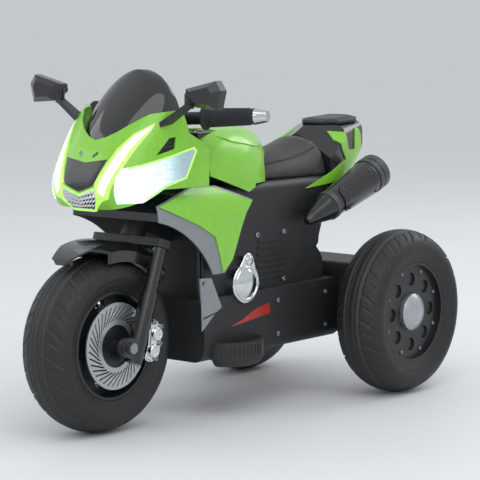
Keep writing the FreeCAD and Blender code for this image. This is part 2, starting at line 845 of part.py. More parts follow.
def windscreen():
    """Smoked windscreen: a thin dome, open behind and below."""
    base, wall = float(screen_base), float(screen_wall)
    hollow = screen_solid(wall)
    below = Part.makeBox(400, 400, 2, Vector(-200, -500, base - 2))
    dome = screen_solid(0).cut(hollow).cut(below)
    ledge = Part.makeBox(400, 300, wall, Vector(-200, -float(screen_crest) - 330, base))
    ledge = ledge.common(head_solid(float(shell_wall) + float(fit_gap))).cut(hollow)
    piece("windscreen", formed("windscreen_form", dome.fuse(ledge)))


def raked_point(x, y, z):
    """A place given in the fork's own directions, from the front axle."""
    angle = math.radians(float(rake))
    x, y, z = float(x), float(y), float(z)
    along_y = y * math.cos(angle) + z * math.sin(angle)
    along_z = z * math.cos(angle) - y * math.sin(angle)
    return Vector(x, along_y - float(wheelbase) / 2, along_z + float(front_dia) / 2)


def steering():
    """Fork, crown, column, head tube bracket, front axle and calipers."""
    slider = rod("slider", slider_dia, slider_top + slider_foot, 0, fork_offset, -slider_foot)
    crown_top = crown_base + crown_thickness
    stanchion = rod("stanchion", stanchion_dia, crown_top - slider_top, 0, fork_offset, slider_top)
    lug = rod("leg_lug", lug_dia, lug_width, -lug_width / 2, 0, 0, "x")
    arm = block("leg_arm", lug_width, fork_offset, lug_dia, -lug_width / 2, 0, -lug_dia / 2)
    hole = rod("leg_hole", axle_dia, slider_dia * 2, -slider_dia, 0, 0, "x")
    couple("fork_legs", raked(cut("leg_cut", fuse("leg_fuse", slider, stanchion, lug, arm), hole), fork_half))

    half = fork_half + stanchion_dia / 2 + crown_margin
    deep = stanchion_dia / 2 + crown_margin
    plate = block("crown_block", half * 2, deep * 2, crown_thickness, -half, fork_offset - deep, crown_base)
    plate = rounded("crown_plate", plate, deep - 1, along("z"))
    holes = [rod("crown_hole", column_dia, crown_top * 2, 0, fork_offset, 0)]
    for sign, label in ((1, "left"), (-1, "right")):
        holes.append(rod("crown_hole_" + label, stanchion_dia, crown_top * 2, fork_half * sign, fork_offset, 0))
    piece("fork_crown", raked(cut("crown_cut", plate, *holes)))

    column_top = bar_level - bar_dia / 2 - crown_margin
    shaft = rod("column_rod", column_dia, column_top - crown_base, 0, fork_offset, crown_base)
    piece("steering_column", raked(group("column_group", shaft)))

    base = crown_top + end_gap
    tube = rod("tube_rod", head_tube_dia, head_tube_length, 0, fork_offset, base)
    rib_base = base + (head_tube_length - gusset_height) / 2
    rib = block("tube_rib", gusset_width, gusset_reach, gusset_height, -gusset_width / 2, fork_offset, rib_base)
    bore = rod("tube_bore", column_dia + column_play * 2, head_tube_length * 2, 0, fork_offset, base - 20)
    piece("head_tube", raked(cut("tube_cut", fuse("tube_fuse", tube, rib), bore)))

    reach = fork_half + lug_width / 2
    pin = rod("front_axle_rod", axle_dia, reach * 2, -reach, -wheelbase / 2, front_dia / 2, "x")
    heads = []
    for start, label in ((reach, "left"), (-reach - nut_height, "right")):
        nut = doc.addObject("Part::Prism", "axle_head_" + label)
        nut.Polygon = 6
        bind(nut, Circumradius=nut_flats / 2, Height=nut_height)
        nut.Placement = Placement(Vector(), Rotation(*AXES["x"]))
        heads.append(place(nut, start, -wheelbase / 2, front_dia / 2))
    piece("front_axle", fuse("front_axle_fuse", pin, *heads))
    calipers()


def calipers():
    """Brake calipers that clasp the fork feet and straddle the discs."""
    width, deep, high = caliper_outer - caliper_inner, caliper_rear - caliper_front, caliper_top - caliper_base
    jaw = block("jaw_block", width, deep, high, caliper_inner, caliper_front, caliper_base)
    jaw = rounded("jaw_round", jaw, caliper_round, along("x"))
    middle = front_hub_width / 2 + disc_thickness / 2
    gap = disc_thickness + caliper_gap * 2
    slot = rod("jaw_slot", disc_dia + caliper_gap * 4, gap, middle - gap / 2, 0, 0, "x")
    hub = rod("jaw_hub", front_hub_dia + caliper_gap * 4, middle + gap / 2, 0, 0, 0, "x")
    collar = rod("jaw_collar", spacer_dia + caliper_gap * 2, fork_half, 0, 0, 0, "x")
    clear = front_tyre_width / 2 + caliper_gap * 2
    barrel = rod("jaw_barrel", front_dia, clear, 0, 0, 0, "x")
    rim = rod("jaw_rim", bead_dia - rim_wall * 2 - caliper_gap * 4, front_dia, -front_dia / 2, 0, 0, "x")
    wheel = cut("jaw_wheel", barrel, rim)
    slider = rod("jaw_slider", slider_dia, slider_top * 2, fork_half, fork_offset, -slider_top)
    lug = rod("jaw_lug", lug_dia, lug_width, fork_half - lug_width / 2, 0, 0, "x")
    arm = block("jaw_arm", lug_width, fork_offset, lug_dia, fork_half - lug_width / 2, 0, -lug_dia / 2)
    head = rod("jaw_head", nut_flats + caliper_gap * 2, caliper_outer, fork_half, 0, 0, "x")
    jaw = cut("jaw_cut", jaw, slot, hub, collar, wheel, slider, lug, arm, head)
    couple("brake_calipers", raked(jaw))


def head_bracket():
    """The inner plate that carries the head fairing on the column."""
    start = crown_base + crown_thickness + head_tube_length + end_gap * 2
    boss = raked(group("boss_group", rod("boss_rod", boss_dia, boss_length, 0, fork_offset, start)))
    back = -float(wheelbase) / 2 + float(head_back) - 4
    plate = Part.makeBox(400, 400, float(bracket_plate), Vector(-200, back - 400, float(bracket_level)))
    plate = formed("bracket_plate_form", plate.common(head_solid(float(shell_wall) + float(fit_gap))))
    hole = raked(group("bracket_hole", rod("bracket_rod", column_dia, bar_level, 0, fork_offset, crown_base)))
    piece("head_bracket", cut("bracket_cut", fuse("bracket_fuse", boss, plate), hole))


def handlebar():
    """Handlebar with its clamp, grips and bar ends."""
    centre = raked_point(0, fork_offset, bar_level)
    axis = raked_point(0, fork_offset, bar_level + 1) - centre
    bend = centre + Vector(float(bar_straight), 0, 0)
    end = Vector(float(bar_reach), centre.y + float(bar_sweep), centre.z + float(bar_rise))
    run = end - bend
    length = run.Length
    way = Vector(run).normalize()
    radius = float(bar_dia) / 2
    tube_end = length - float(bar_end_length)

    span = float(bar_straight) * 2
    straight = Part.makeCylinder(radius, span, bend - Vector(span, 0, 0), Vector(1, 0, 0))
    parts = [Part.makeCylinder(radius, tube_end, bend, way), Part.makeSphere(radius, bend)]
    parts += [part.mirror(Vector(), Vector(1, 0, 0)) for part in parts]
    clamp_base = centre - axis * float(clamp_depth)
    parts.append(Part.makeCylinder(float(clamp_dia) / 2, float(clamp_depth) + radius + 5, clamp_base, axis))
    column_top = float(bar_level) - radius - float(crown_margin)
    hole_base = raked_point(0, fork_offset, column_top - float(clamp_depth) * 2)
    hole = Part.makeCylinder(float(column_dia) / 2, float(clamp_depth) * 2, hole_base, axis)
    piece("handlebar", formed("handlebar_form", straight.fuse(parts).cut(hole)))

    start = tube_end - float(grip_length)
    grip_in, grip_out = float(grip_dia) / 2, float(grip_dia) / 2 - 2.5
    grip = Part.makeCone(grip_in, grip_out, float(grip_length), bend + way * start, way)
    grip = grip.fuse(Part.makeCylinder(float(flange_dia) / 2, float(flange_width), bend + way * start, way))
    grip = grip.cut(Part.makeCylinder(radius, length * 2, bend - way * 10, way))
    grip = formed("grip_form", grip)
    couple("grips", grip)

    tip = float(bar_end_tip_dia) / 2
    cap = formed("bar_end_form", Part.makeCone(grip_out, tip, float(bar_end_length), bend + way * tube_end, way))
    couple("bar_ends", cap)


def mirrors():
    """Mirror stalks on the head fairing, and housings with their glasses on upright pivots."""
    half_w, half_h, half_d = float(mirror_width) / 2, float(mirror_height) / 2, float(mirror_depth) / 2
    base_x, base_z = float(head_half) * 0.84, float(head_top) - 32
    back = -float(wheelbase) / 2 + float(head_back)
    shape = math.sqrt(1 - 0.84 ** float(bluntness))
    base = Vector(base_x, back + (nose_at(base_z) - back) * shape + 8, base_z)
    pivot = Vector(float(mirror_out) - half_w * 0.8, base.y + 2, float(mirror_level) - half_h * 0.7)

    wide, thick = float(stalk_width) / 2, float(stalk_thickness) / 2
    run = pivot - base
    across = run.cross(Vector(0, 1, 0)).normalize()

    def bar_section(point, w, t):
        corners = [point + Vector(0, a * w, 0) + across * (b * t) for a, b in ((1, 1), (1, -1), (-1, -1), (-1, 1))]
        return Part.makePolygon(corners + corners[:1])

    foot = base - run * 0.25
    stalk = Part.makeLoft([bar_section(foot, wide * 1.5, thick * 1.2), bar_section(pivot, wide, thick)], True, True)
    stalk = stalk.cut(head_solid(0))
    stalk = max(stalk.Solids, key=lambda solid: solid.Volume)
    lug_radius = float(pivot_dia) / 2 + 4
    seat_low = pivot - Vector(0, 0, 5)
    table = Part.makeCylinder(lug_radius, 8, seat_low)
    pin = Part.makeCylinder(float(pivot_dia) / 2, float(pivot_height) + 3, pivot)
    lug_base = pivot.z + 3 + float(end_gap)
    clear = Part.makeBox(200, 200, 60, Vector(0, pivot.y - 100, pivot.z + 3))
    stalk = stalk.cut(clear).fuse([table, pin])
    stalk = formed("stalk_form", stalk.removeSplitter())
    couple("mirror_stalks", stalk)

    rim = [(-0.95, 0.4), (0.7, 1.0), (1.0, 0.35), (0.8, -0.95), (-0.45, -0.8), (-1.0, -0.1)]
    middle = Vector(float(mirror_out), pivot.y, float(mirror_level))

    def face_wire(y, scale):
        corners = [Vector(middle.x + half_w * a * scale, y, middle.z + half_h * b * scale) for a, b in rim]
        return Part.makePolygon(corners + corners[:1])

    front, rear = middle.y - half_d, middle.y + half_d
    sections = [face_wire(rear, 1), face_wire(middle.y - half_d * 0.2, 0.98), face_wire(front, 0.6)]
    housing = Part.makeLoft(sections, True, True)
    lug = Part.makeCylinder(lug_radius, float(pivot_height) + 2, Vector(pivot.x, pivot.y, lug_base))
    bore_radius = float(pivot_dia) / 2 + float(pivot_play)
    bore = Part.makeCylinder(bore_radius, float(pivot_height) + 1, Vector(pivot.x, pivot.y, lug_base - 1))
    below = Part.makeCylinder(lug_radius + 3, 60, Vector(pivot.x, pivot.y, lug_base - 60))
    recess = Part.Face(face_wire(rear - float(mirror_glass), 0.93)).extrude(Vector(0, float(mirror_glass) + 1, 0))
    glass = Part.Face(face_wire(rear - float(mirror_glass), 0.93)).extrude(Vector(0, float(mirror_glass), 0))
    housing = housing.fuse(lug).cut(below).cut(bore).cut(recess)
    glass = glass.cut(below).cut(bore)
    pair("mirror_housing", formed("mirror_housing_form", housing))
    pair("mirror_glass", formed("mirror_glass_form", glass))


def fender():
    """Front fender: a curved cover over the tyre with skirts and fork tabs, drawn in to a point in front."""
    inner = float(front_dia) / 2 + float(fender_gap)
    outer = inner + float(fender_wall)
    half, wall = float(fender_half), float(fender_wall)
    hem = inner - float(fender_skirt)
    bevel = half * 0.28
    axle = Vector(0, -float(wheelbase) / 2, float(front_dia) / 2)
    corners = [(-half, hem), (-half, outer - bevel), (-half + bevel, outer)]
    corners += [(half - bevel, outer), (half, outer - bevel), (half, hem), (half - wall, hem)]
    corners += [(half - wall, inner - bevel + wall / 2), (half - bevel - wall / 2, inner)]
    corners += [(-half + bevel + wall / 2, inner), (-half + wall, inner - bevel + wall / 2), (-half + wall, hem)]
    points = [axle + Vector(a, -b, 0) for a, b in corners]
    section = Part.Face(Part.makePolygon(points + points[:1]))
    start, end = float(fender_front), float(fender_rear)
    section.rotate(axle, Vector(-1, 0, 0), start)
    shell = section.revolve(axle, Vector(-1, 0, 0), end - start)

    tip_y = axle.y - outer * math.cos(math.radians(start)) - 5
    wide_y = axle.y - outer * math.cos(math.radians(start + 26))
    tip = float(fender_tip_half)
    for sign in (1, -1):
        side = [(tip, tip_y), (half + 2, wide_y), (half + 30, wide_y), (half + 30, tip_y)]
        side = [(sign * a, b) for a, b in side]
        shell = shell.cut(prism(side, "z", axle.z, axle.z + outer * 2))
    angle = math.radians(start)
    lip = []
    for radius, turn in ((outer, 0), (outer, 0.05), (inner - 10, 0.03), (inner - 10, 0.0)):
        lip.append((axle.y - radius * math.cos(angle + turn), axle.z + radius * math.sin(angle + turn)))
    shell = shell.fuse(prism(lip, "x", -tip, tip))
    level = (inner + hem) / 2
    for sign in (1, -1):
        foot = raked_point(sign * float(fork_half), fork_offset, 0)
        axis = raked_point(sign * float(fork_half), fork_offset, 1) - foot
        inward = raked_point(sign * (half - wall / 2), fork_offset, level)
        tab = Part.makeCylinder(float(stanchion_dia) * 0.4, float(fork_half) - half, inward, Vector(sign, 0, 0))
        leg = Part.makeCylinder(float(stanchion_dia) / 2, float(crown_base) * 1.2, foot, axis)
        shell = shell.fuse(tab.cut(leg))
    piece("front_fender", formed("fender_form", shell))


def footboard():
    """Left footboard: a round-fronted bowl against the tub side."""
    reach = float(board_out) - float(tub_half) + float(tub_wall) * 3
    half = (float(board_front) + float(board_rear)) / 2
    centre = Vector(float(board_out) - reach, (float(board_rear) - float(board_front)) / 2, float(board_level))
    rim = Part.Ellipse(centre, half, reach).toShape()
    rim.rotate(centre, Vector(0, 0, 1), 90)
    bowl = Part.Face(Part.Wire([rim])).extrude(Vector(0, 0, -float(board_thickness)))
    low = centre.z - float(board_thickness)
    edges = [edge for edge in bowl.Edges if edge.BoundBox.ZMax < low + 0.01]
    bowl = bowl.makeFillet(float(board_round), edges)
    return bowl.common(Part.makeBox(400, 800, 400, Vector(float(tub_half) - float(tub_wall) / 2, -400, 0)))


def tub():
    """Lower tub with footboards, the well for the front wheel and lugs for the pedal."""
    length = tub_front + tub_rear
    outer = block("tub_block", tub_half * 2, length, tub_top - tub_base, -tub_half, -tub_front, tub_base)
    outer = rounded("tub_outer", outer, tub_round, lambda e: along("y")(e) and e.BoundBox.ZMax < float(tub_base) + 1)
    left = formed("board_left", footboard())
    boards = [left, mirrored("board_right", left)]
    lugs = []
    lug_high = pedal_z - board_level + pedal_pin_dia * 1.4
    for start, label in ((-tub_half - 1 - pedal_lug, "in"), (-tub_half - 2 - pedal_lug * 2 - pedal_width, "out")):
        lug = (pedal_lug, pedal_pin_dia * 3, lug_high, start, pedal_y - pedal_pin_dia * 1.5, board_level - 1)
        lugs.append(block("pedal_lug_" + label, *lug))
    cavity_front = wheelbase / 2 - front_dia / 2 - well_gap - tub_wall * 2
    cavity = block(
        "tub_cavity",
        (tub_half - tub_wall) * 2,
        cavity_front + tub_rear - tub_wall,
        tub_top - tub_base - tub_wall * 2,
        -(tub_half - tub_wall),
        -cavity_front,
        tub_base + tub_wall,
    )
    floor_level = float(tub_base + tub_wall) + 1
    low_edges = lambda e: along("y")(e) and e.BoundBox.ZMax < floor_level
    cavity = rounded("tub_hollow", cavity, tub_round - tub_wall, low_edges)
    door = shell_half - tub_wall * 3
    opening_length = cavity_front + tub_rear - tub_wall * 4
    opening_front = -cavity_front + tub_wall
    opening_base = tub_top - tub_wall * 2
    opening = block("tub_opening", door * 2, opening_length, tub_wall * 3, -door, opening_front, opening_base)
    well = rod("tub_well", front_dia + well_gap * 2, tub_half * 4, -tub_half * 2, -wheelbase / 2, front_dia / 2, "x")
    pin_start = -tub_half - 1 - pedal_lug * 2 - pedal_width - 1
    pin = rod("pedal_pin", pedal_pin_dia, pedal_width + pedal_lug * 2 + 1, pin_start, pedal_y, pedal_z, "x")
    shell = cut("tub_cut", outer, cavity, opening, well)
    piece("lower_tub", fuse("tub_fuse", shell, *boards, *lugs, pin))


def waist(name):
    """The room behind the middle shell, below the tail: two round steps one above the other."""
    deep = float(waist_depth)
    rear, low = float(shell_rear), float(tub_top)
    high = float(tail_base) + 1
    rise = high - low
    steps_in = [(1.2, 1.0), (0.05, 1.0), (0.75, 0.78), (1.0, 0.6), (1.05, 0.5), (1.22, 0.45), (1.0, 0.39)]
    steps_in += [(0.75, 0.3), (0.65, 0.18), (0.65, -0.2), (-1.2, -0.2), (-1.2, 1.0)]
    edge = [(rear - deep * a, low + rise * b) for a, b in steps_in[1:]]
    return formed(name, prism(edge, "x", -float(shell_half) * 2, float(shell_half) * 2))


def middle_shells():
    """Left and right halves of the middle shell, clamped round the head tube bracket."""
    length = shell_front + shell_rear
    high = shell_top - tub_top
    outer = block("shell_block", shell_half * 2, length, high, -shell_half, -shell_front, tub_top)
    roof = float(shell_top) - 1
    soft_edges = lambda e: along("z")(e) or (along("y")(e) and e.BoundBox.ZMin > roof)
    outer = rounded("shell_outer", outer, shell_round, soft_edges)
    inner_half = shell_half - tub_wall
    run = length - waist_depth - tub_wall * 5
    inner = block("shell_hollow", inner_half * 2, run, high, -inner_half, -shell_front + tub_wall, tub_top - tub_wall)
    inner = rounded("shell_inner", inner, shell_round - tub_wall, along("y"))
    attic_low = tail_base + tub_wall * 2
    attic_rear = shell_rear - tub_wall
    attic_height = shell_top - tub_wall - attic_low
    attic = block("shell_attic", inner_half * 2, attic_rear, attic_height, -inner_half, 0, attic_low)
    attic = rounded("shell_loft", attic, shell_round - tub_wall, along("y"))
    whole = cut("shell_cut", outer, inner, attic, waist("shell_waist"))
    rib_base = crown_base + crown_thickness + end_gap + (head_tube_length - gusset_height) / 2
    rib = block("shell_rib", gusset_width, gusset_reach, gusset_height, -gusset_width / 2, fork_offset, rib_base)
    rib = raked(group("shell_rib_group", rib))
    whole = cut("shell_whole", whole, rib)
    reach = shell_half * 2
    left = block("left_side", reach, length * 2, high * 2, 0, -length, tub_top - high / 2)
    right = block("right_side", reach, length * 2, high * 2, -reach, -length, tub_top - high / 2)
    piece("middle_shell_left", common("shell_left", whole, left))
    piece("middle_shell_right", common("shell_right", whole, right))


def side_slab(inner, outer):
    """A thin upright sheet that follows the left side fairing's face, from one offset to another."""
    low, high = float(tub_top) - 4, float(cowl_top) + 22
    front, rear = -float(cowl_front) - 20, 40
    shoulder = float(cowl_base)
    wires = []
    for z in steps(low, high, 9):
        lean = float(fairing_tuck) * (max(0.0, z - shoulder) / (high - shoulder)) ** 2
        draw = 5 * (max(0.0, 300 - z) / (300 - low)) ** 2
        rows = []
        for offset in (outer, inner):
            points = []
            for y in steps(front, rear, 5):
                bow = 4 * ((y - (front + rear) / 2) / (rear - front) * 2) ** 2
                points.append(Vector(float(fairing_half) - lean - draw - bow + offset, y, z))
            rows.append(points)
        rows[1].reverse()
        edges = [spline(rows[0]), Part.LineSegment(rows[0][-1], rows[1][0]).toShape()]
        edges += [spline(rows[1]), Part.LineSegment(rows[1][-1], rows[0][0]).toShape()]
        wires.append(Part.Wire(edges))
    return loft(wires)


def fairings():
    """Side fairings with their green panels, grey accent plates and the cowl between them."""
    front, top, base = -float(cowl_front), float(cowl_top) + 12, float(tub_top) + 42
    edge = [(front, base), (front, 384), (-164, top - 1), (-100, top - 3), (-14, top - 33), (-34, top - 54)]
    edge += [(-48, top - 80), (-72, top - 132), (-94, base)]
    axle = Vector(-200, -float(wheelbase) / 2, float(front_dia) / 2)
    arch = Part.makeCylinder(float(arch_radius), 400, axle, Vector(1, 0, 0))
    panel = side_slab(-float(fairing_wall), 0).common(prism(edge, "x", 0, 200)).cut(arch)
    couple("side_fairings", formed("side_fairing_form", panel))

    trim = [(front + 2, 383), (-164, top - 2), (-110, top - 5), (-18, top - 34), (-38, top - 54), (-52, top - 80)]
    trim += [(-76, top - 132), (-100, top - 153), (-114, top - 110), (-123, top - 88), (-164, top - 66)]
    green = side_slab(0, float(panel_lift)).common(prism(trim, "x", 0, 200)).cut(arch)
    couple("side_panels", formed("side_panel_form", green))

    low, high = float(cowl_base), float(cowl_top)
    back = -float(shell_front) - 0.5
    drop = (high - low) * 0.65
    wall = float(fairing_wall) + 1
    side = [(front + 1, low), (front + 1, high - drop), (front + 60, high), (back, high), (back, low)]
    cowl = prism(side, "x", -150, 150)
    hollow = [(front + 1 + wall, low - 9), (front + 1 + wall, high - drop - wall * 0.7), (front + 61, high - wall)]
    hollow = prism(hollow + [(back + 9, high - wall), (back + 9, low - 9)], "x", -150, 150)
    slab = side_slab(-float(fairing_wall) - 0.3, 90)
    deep = side_slab(-float(fairing_wall) - wall, 90)
    cowl = cowl.cut(slab).cut(slab.mirror(Vector(), Vector(1, 0, 0))).cut(arch)
    hollow = hollow.cut(deep).cut(deep.mirror(Vector(), Vector(1, 0, 0)))
    foot = raked_point(0, fork_offset, 0)
    axis = raked_point(0, fork_offset, 1) - foot
    cowl = cowl.cut(hollow).cut(Part.makeCylinder(float(head_tube_dia) / 2 + 0.5, 500, foot, axis))
    rib = Part.makeBox(float(gusset_width) + 1, 200, 300, Vector(-float(gusset_width) / 2 - 0.5, foot.y + 60, 200))
    cowl = cowl.cut(rib)
    cowl = Part.makeCompound([solid for solid in cowl.Solids if solid.Volume > 300])
    piece("front_cowl", formed("front_cowl_form", cowl))

    side, level = float(tub_half), float(tub_top)
    plate = [(-157, level + 38), (-127, level + 36), (-99, level - 17), (-117, level - 27)]
    plate += [(-152, level - 54), (-153, level - 15)]
    accent = prism(plate, "x", side - 1.5, side + 1.5)
    accent = accent.cut(Part.makeBox(side, 600, level, Vector(0, -300, 0)))
    couple("accent_plates", formed("accent_form", accent))


def arch_wire(y, half, base, top, power):
    """A cross section: a rounded arch over a straight base line."""
    points = []
    for i in range(25):
        angle = math.pi * i / 24
        c, s = math.cos(angle), math.sin(angle)
        x = half * math.copysign(abs(c) ** (2 / power), c)
        points.append(Vector(x, y, base + (top - base) * abs(s) ** (2 / power)))
    return Part.Wire([spline(points), Part.LineSegment(points[-1], points[0]).toShape()])


def tank_solid(inset):
    """The tank's outer form, or the form that lies a wall deeper."""
    front, rear = -float(tank_front) + inset, float(tank_rear) - inset
    wires = []
    for y in steps(front, rear, 9):
        part = (y + float(tank_front)) / (float(tank_rear) + float(tank_front))
        crown = 28 * abs((part - 0.52) * 2) ** 3
        half = float(tank_half) - (float(tank_half) - float(tank_rear_half)) * part**4 - inset
        power = 3.0 - 2.4 * max(0.0, part - 0.5)
        wires.append(arch_wire(y, half, float(tank_skirt) - 2 * inset, float(tank_top) - crown - inset, power))
    return loft(wires)


def tank():
    """Green tank cover with the dashboard and its controls."""
    wall = float(shell_wall)
    low = float(tank_skirt)
    edge = [(-150, low + 52), (-8, low + 5), (28, low + 17), (54, low + 12), (60, low + 54), (66, low + 62)]
    edge += [(150, low + 78), (150, low + 200), (-150, low + 200)]
    shell = tank_solid(0).cut(tank_solid(wall)).common(prism(edge, "x", -200, 200))
    high = float(shell_top) - float(tub_top)
    room = float(shell_half) * 2 + 1
    floor = Part.makeBox(room, 500, high + 1, Vector(-room / 2, -250, float(tub_top)))
    corner = float(shell_top) - float(shell_round)
    keep = Part.makeBox(400, 600, 200, Vector(-200, -300, float(shell_top) + 0.5))
    shell = shell.cut(floor.cut(keep).common(Part.makeBox(400, 600, 400, Vector(-200, -300, corner - 200))))
    shell = shell.cut(Part.makeBox(room, 500, 30, Vector(-room / 2, -250, float(shell_top) - 29.5)))
    dash_low = float(dash_level) - float(dash_thickness)
    width, length = float(dash_width), float(dash_length)
    corner = Vector(-width / 2, -float(dash_centre) - length / 2, dash_low)
    pod = Part.makeBox(width, length, float(dash_thickness) + 40, corner)
    shell = shell.cut(pod)
    shell = Part.makeCompound([solid for solid in shell.Solids if solid.Volume > 2000])
    piece("tank_cover", formed("tank_cover_form", shell))

    dash_base = dash_level - dash_thickness
    dash_front = -dash_centre - dash_length / 2
    pod = block("dash_block", dash_width, dash_length, dash_thickness, -dash_width / 2, dash_front, dash_base)
    pod = rounded("dash_round", pod, 3, lambda e: e.BoundBox.ZMin > float(dash_level) - 1)
    holes = []
    spots = {"power_button": -1, "sound_button": 1}
    reach = dash_width / 3.2
    for node, sign in spots.items():
        hole_dia = button_dia + button_play * 2
        hole_base = dash_level - dash_thickness * 2
        holes.append(rod(node + "_hole", hole_dia, dash_thickness * 3, reach * sign, -dash_centre, hole_base))
    slot = (rocker_width + button_play * 2, rocker_length + button_play * 4)
    slot_front = -dash_centre - slot[1] / 2
    slot_base = dash_level - dash_thickness * 2
    holes.append(block("rocker_hole", slot[0], slot[1], dash_thickness * 3, -slot[0] / 2, slot_front, slot_base))
    piece("dashboard", cut("dash_cut", pod, *holes))
    for node, sign in spots.items():
        base = dash_level + button_stroke + 1 - button_height
        piece(node, rod(node + "_rod", button_dia, button_height, reach * sign, -dash_centre, base))
    pivot_level = dash_level - dash_thickness / 2
    wide, long = rocker_width * 2, rocker_length * 2
    ahead = -dash_centre - rocker_length
    keel = rod("rocker_rod", rocker_length, rocker_width, -rocker_width / 2, -dash_centre, pivot_level, "x")
    crown_front = -dash_centre - rocker_length / 2
    crown = block("rocker_crown", rocker_width, rocker_length, rocker_length, -rocker_width / 2, crown_front, pivot_level)
    lid = block("rocker_trim", wide, long, rocker_length, -rocker_width, ahead, dash_level + 3)
    under_base = dash_level - dash_thickness - rocker_length + 1
    under = block("rocker_under", wide, long, rocker_length, -rocker_width, ahead, under_base)
    body = common("rocker_body", fuse("rocker_fuse", keel, crown), keel)
    piece("direction_rocker", cut("rocker_cut", body, lid, under))


def seat():
    """Moulded saddle that rises to the tail."""
    front, rear = float(seat_front), float(seat_rear)
    wires = []
    for part in (0.0, 0.06, 0.2, 0.35, 0.5, 0.65, 0.8, 0.92, 1.0):
        y = front + (rear - front) * part
        rise = float(seat_rise) * max(0.0, (part - 0.3) / 0.7) ** 1.6
        nose = 22 * (1 - min(1.0, part / 0.45)) ** 2
        tight = 12 * (1 - min(1.0, part / 0.12)) ** 2
        half = float(seat_half) - 14 * (1 - part) ** 2 - tight
        wires.append(arch_wire(y, half, float(seat_base), float(seat_dip) + rise - nose - tight, 2.2))
    piece("seat", formed("seat_form", loft(wires)))


def tail_slant(sign, inset):
    """What the slanted front corner takes off the tail cowl on one side."""
    across, along_tail = 0.54, 0.5
    steep = math.sqrt(1 + across**2 + along_tail**2)
    front = float(tail_front)
    middle = float(tail_slant_level) - inset * steep
    corners = []
    for x, y in ((-10, front - 60), (160, front - 60), (160, front + 200), (-10, front + 200)):
        level = middle + along_tail * (y - front) + across * (float(tail_slant_half) - x)
        corners.append(Vector(sign * x, y, level))
    return Part.Face(Part.makePolygon(corners + corners[:1])).extrude(Vector(0, 0, 250))


def tail_solid(inset):
    """The tail cowl's outer form, or the form that lies a wall deeper."""
    wires = []
    for part in (0.0, 0.2, 0.4, 0.6, 0.8, 0.93, 1.0):
        y = float(tail_front) + (float(tail_rear) - float(tail_front)) * part
        y += inset if part == 0 else (-inset if part == 1 else 0)
        half = float(tail_half) - (float(tail_half) - float(tail_end_half)) * part**1.3 - inset
        base = float(tail_base) + float(tail_lift) * part**1.2 + inset
        top = float(tail_top) + 10 * part - inset
        points = []
        for i in range(32):
            angle = 2 * math.pi * i / 32
            c, s = math.cos(angle), math.sin(angle)
            x = half * math.copysign(abs(c) ** 0.5, c)
            z = (top + base) / 2 + (top - base) / 2 * math.copysign(abs(s) ** 0.5, s)
            points.append(Vector(x, y, z))
        wires.append(loop(points))
    form = loft(wires)
    return form.cut(tail_slant(1, inset)).cut(tail_slant(-1, inset))


def tail():
    """Tail cowl with its pad, green trims and lamp."""
    outer = tail_solid(0)
    cowl = outer.cut(tail_solid(float(shell_wall)))
    piece("tail_cowl", formed("tail_cowl_form", cowl))

    front, rear, half = float(pad_front), float(pad_rear), float(pad_half)
    plan = [(-half * 0.5, front), (half * 0.5, front), (half, front + 26), (half, rear - 14)]
    plan += [(half * 0.8, rear), (-half * 0.8, rear), (-half, rear - 14), (-half, front + 26)]
    middle = (float(tail_top) + float(tail_base)) / 2
    cushion = tail_solid(-float(pad_thickness)).cut(outer).common(prism(plan, "z", middle + 20, middle + 200))
    cushion = max(cushion.Solids, key=lambda solid: solid.Volume)
    piece("tail_pad", formed("tail_pad_form", cushion))

    lift = float(panel_lift)
    base = float(tail_base) + 37
    blade = [(158, base), (212, base + 3), (290, base + 9), (322, base + 19), (345, base + 30)]
    blade += [(372, base + 60), (371, base + 82), (360, base + 98), (346, base + 99), (338, base + 80)]
    blade += [(337, base + 60), (309, base + 60), (304, base + 70), (300, base + 94), (281, base + 96)]
    blade += [(273, base + 80), (280, base + 62), (295, base + 44)]
    skin = tail_solid(-lift).cut(outer)
    ahead = float(tail_front)
    rear_room = Part.makeBox(400, 400, 400, Vector(-200, ahead, 200))
    trims = []
    for low, high in ((0, 200), (-200, 0)):
        inward = float(shell_half) if high > 0 else -float(shell_half) - lift
        flat = Part.makeBox(lift, ahead, 400, Vector(inward, 0, 200))
        blades = skin.common(rear_room).fuse(flat).common(prism(blade, "x", low, high))
        trims += blades.Solids
    piece("tail_trims", formed("tail_trim_form", Part.makeCompound(trims)))

    width = float(tail_end_half) * 1.1
    level = float(tail_top) - 30
    lens = Part.makeBox(width, 12, 24, Vector(-width / 2, float(tail_rear) - 4, level))
    lens = lens.cut(outer)
    piece("tail_lamp", formed("tail_lamp_form", max(lens.Solids, key=lambda solid: solid.Volume)))


def along_muffler(obj):
    """Lays a body turned about X along the left muffler's axis."""
    angle = math.radians(float(muffler_tilt))
    obj.Placement = Placement(Vector(), Rotation(Vector(1, 0, 0), Vector(0, math.cos(angle), math.sin(angle))))
    return place(obj, muffler_out, muffler_front, muffler_level)


def mufflers():
    """Mufflers with end rings and mounting lugs."""
    body_end = muffler_length - muffler_cap
    front, rear = muffler_front_dia / 2, muffler_rear_dia / 2
    taper = front * 2.4
    corners = [(0, 0), (body_end, 0), (body_end, rear), (taper, front)]
    corners += [(front * 0.4, front * 0.45), (0, front * 0.25)]
    can = along_muffler(turned("muffler_body", corners))
    lug_y = muffler_front + 48
    gap = muffler_out - shell_half
    lug = rod("muffler_lug", front, gap, shell_half, lug_y, muffler_level + 17, "x")
    couple("mufflers", fuse("muffler_fuse", can, lug))
    hole = muffler_hole / 2
    floor = body_end + muffler_cap / 3
    corners = [(body_end, 0), (floor, 0), (floor, hole), (muffler_length, hole)]
    corners += [(muffler_length, rear - 5), (muffler_length - 6, rear + 0.8), (body_end, rear + 0.8)]
    tip = along_muffler(turned("muffler_tip_body", corners))
    couple("muffler_tips", tip)


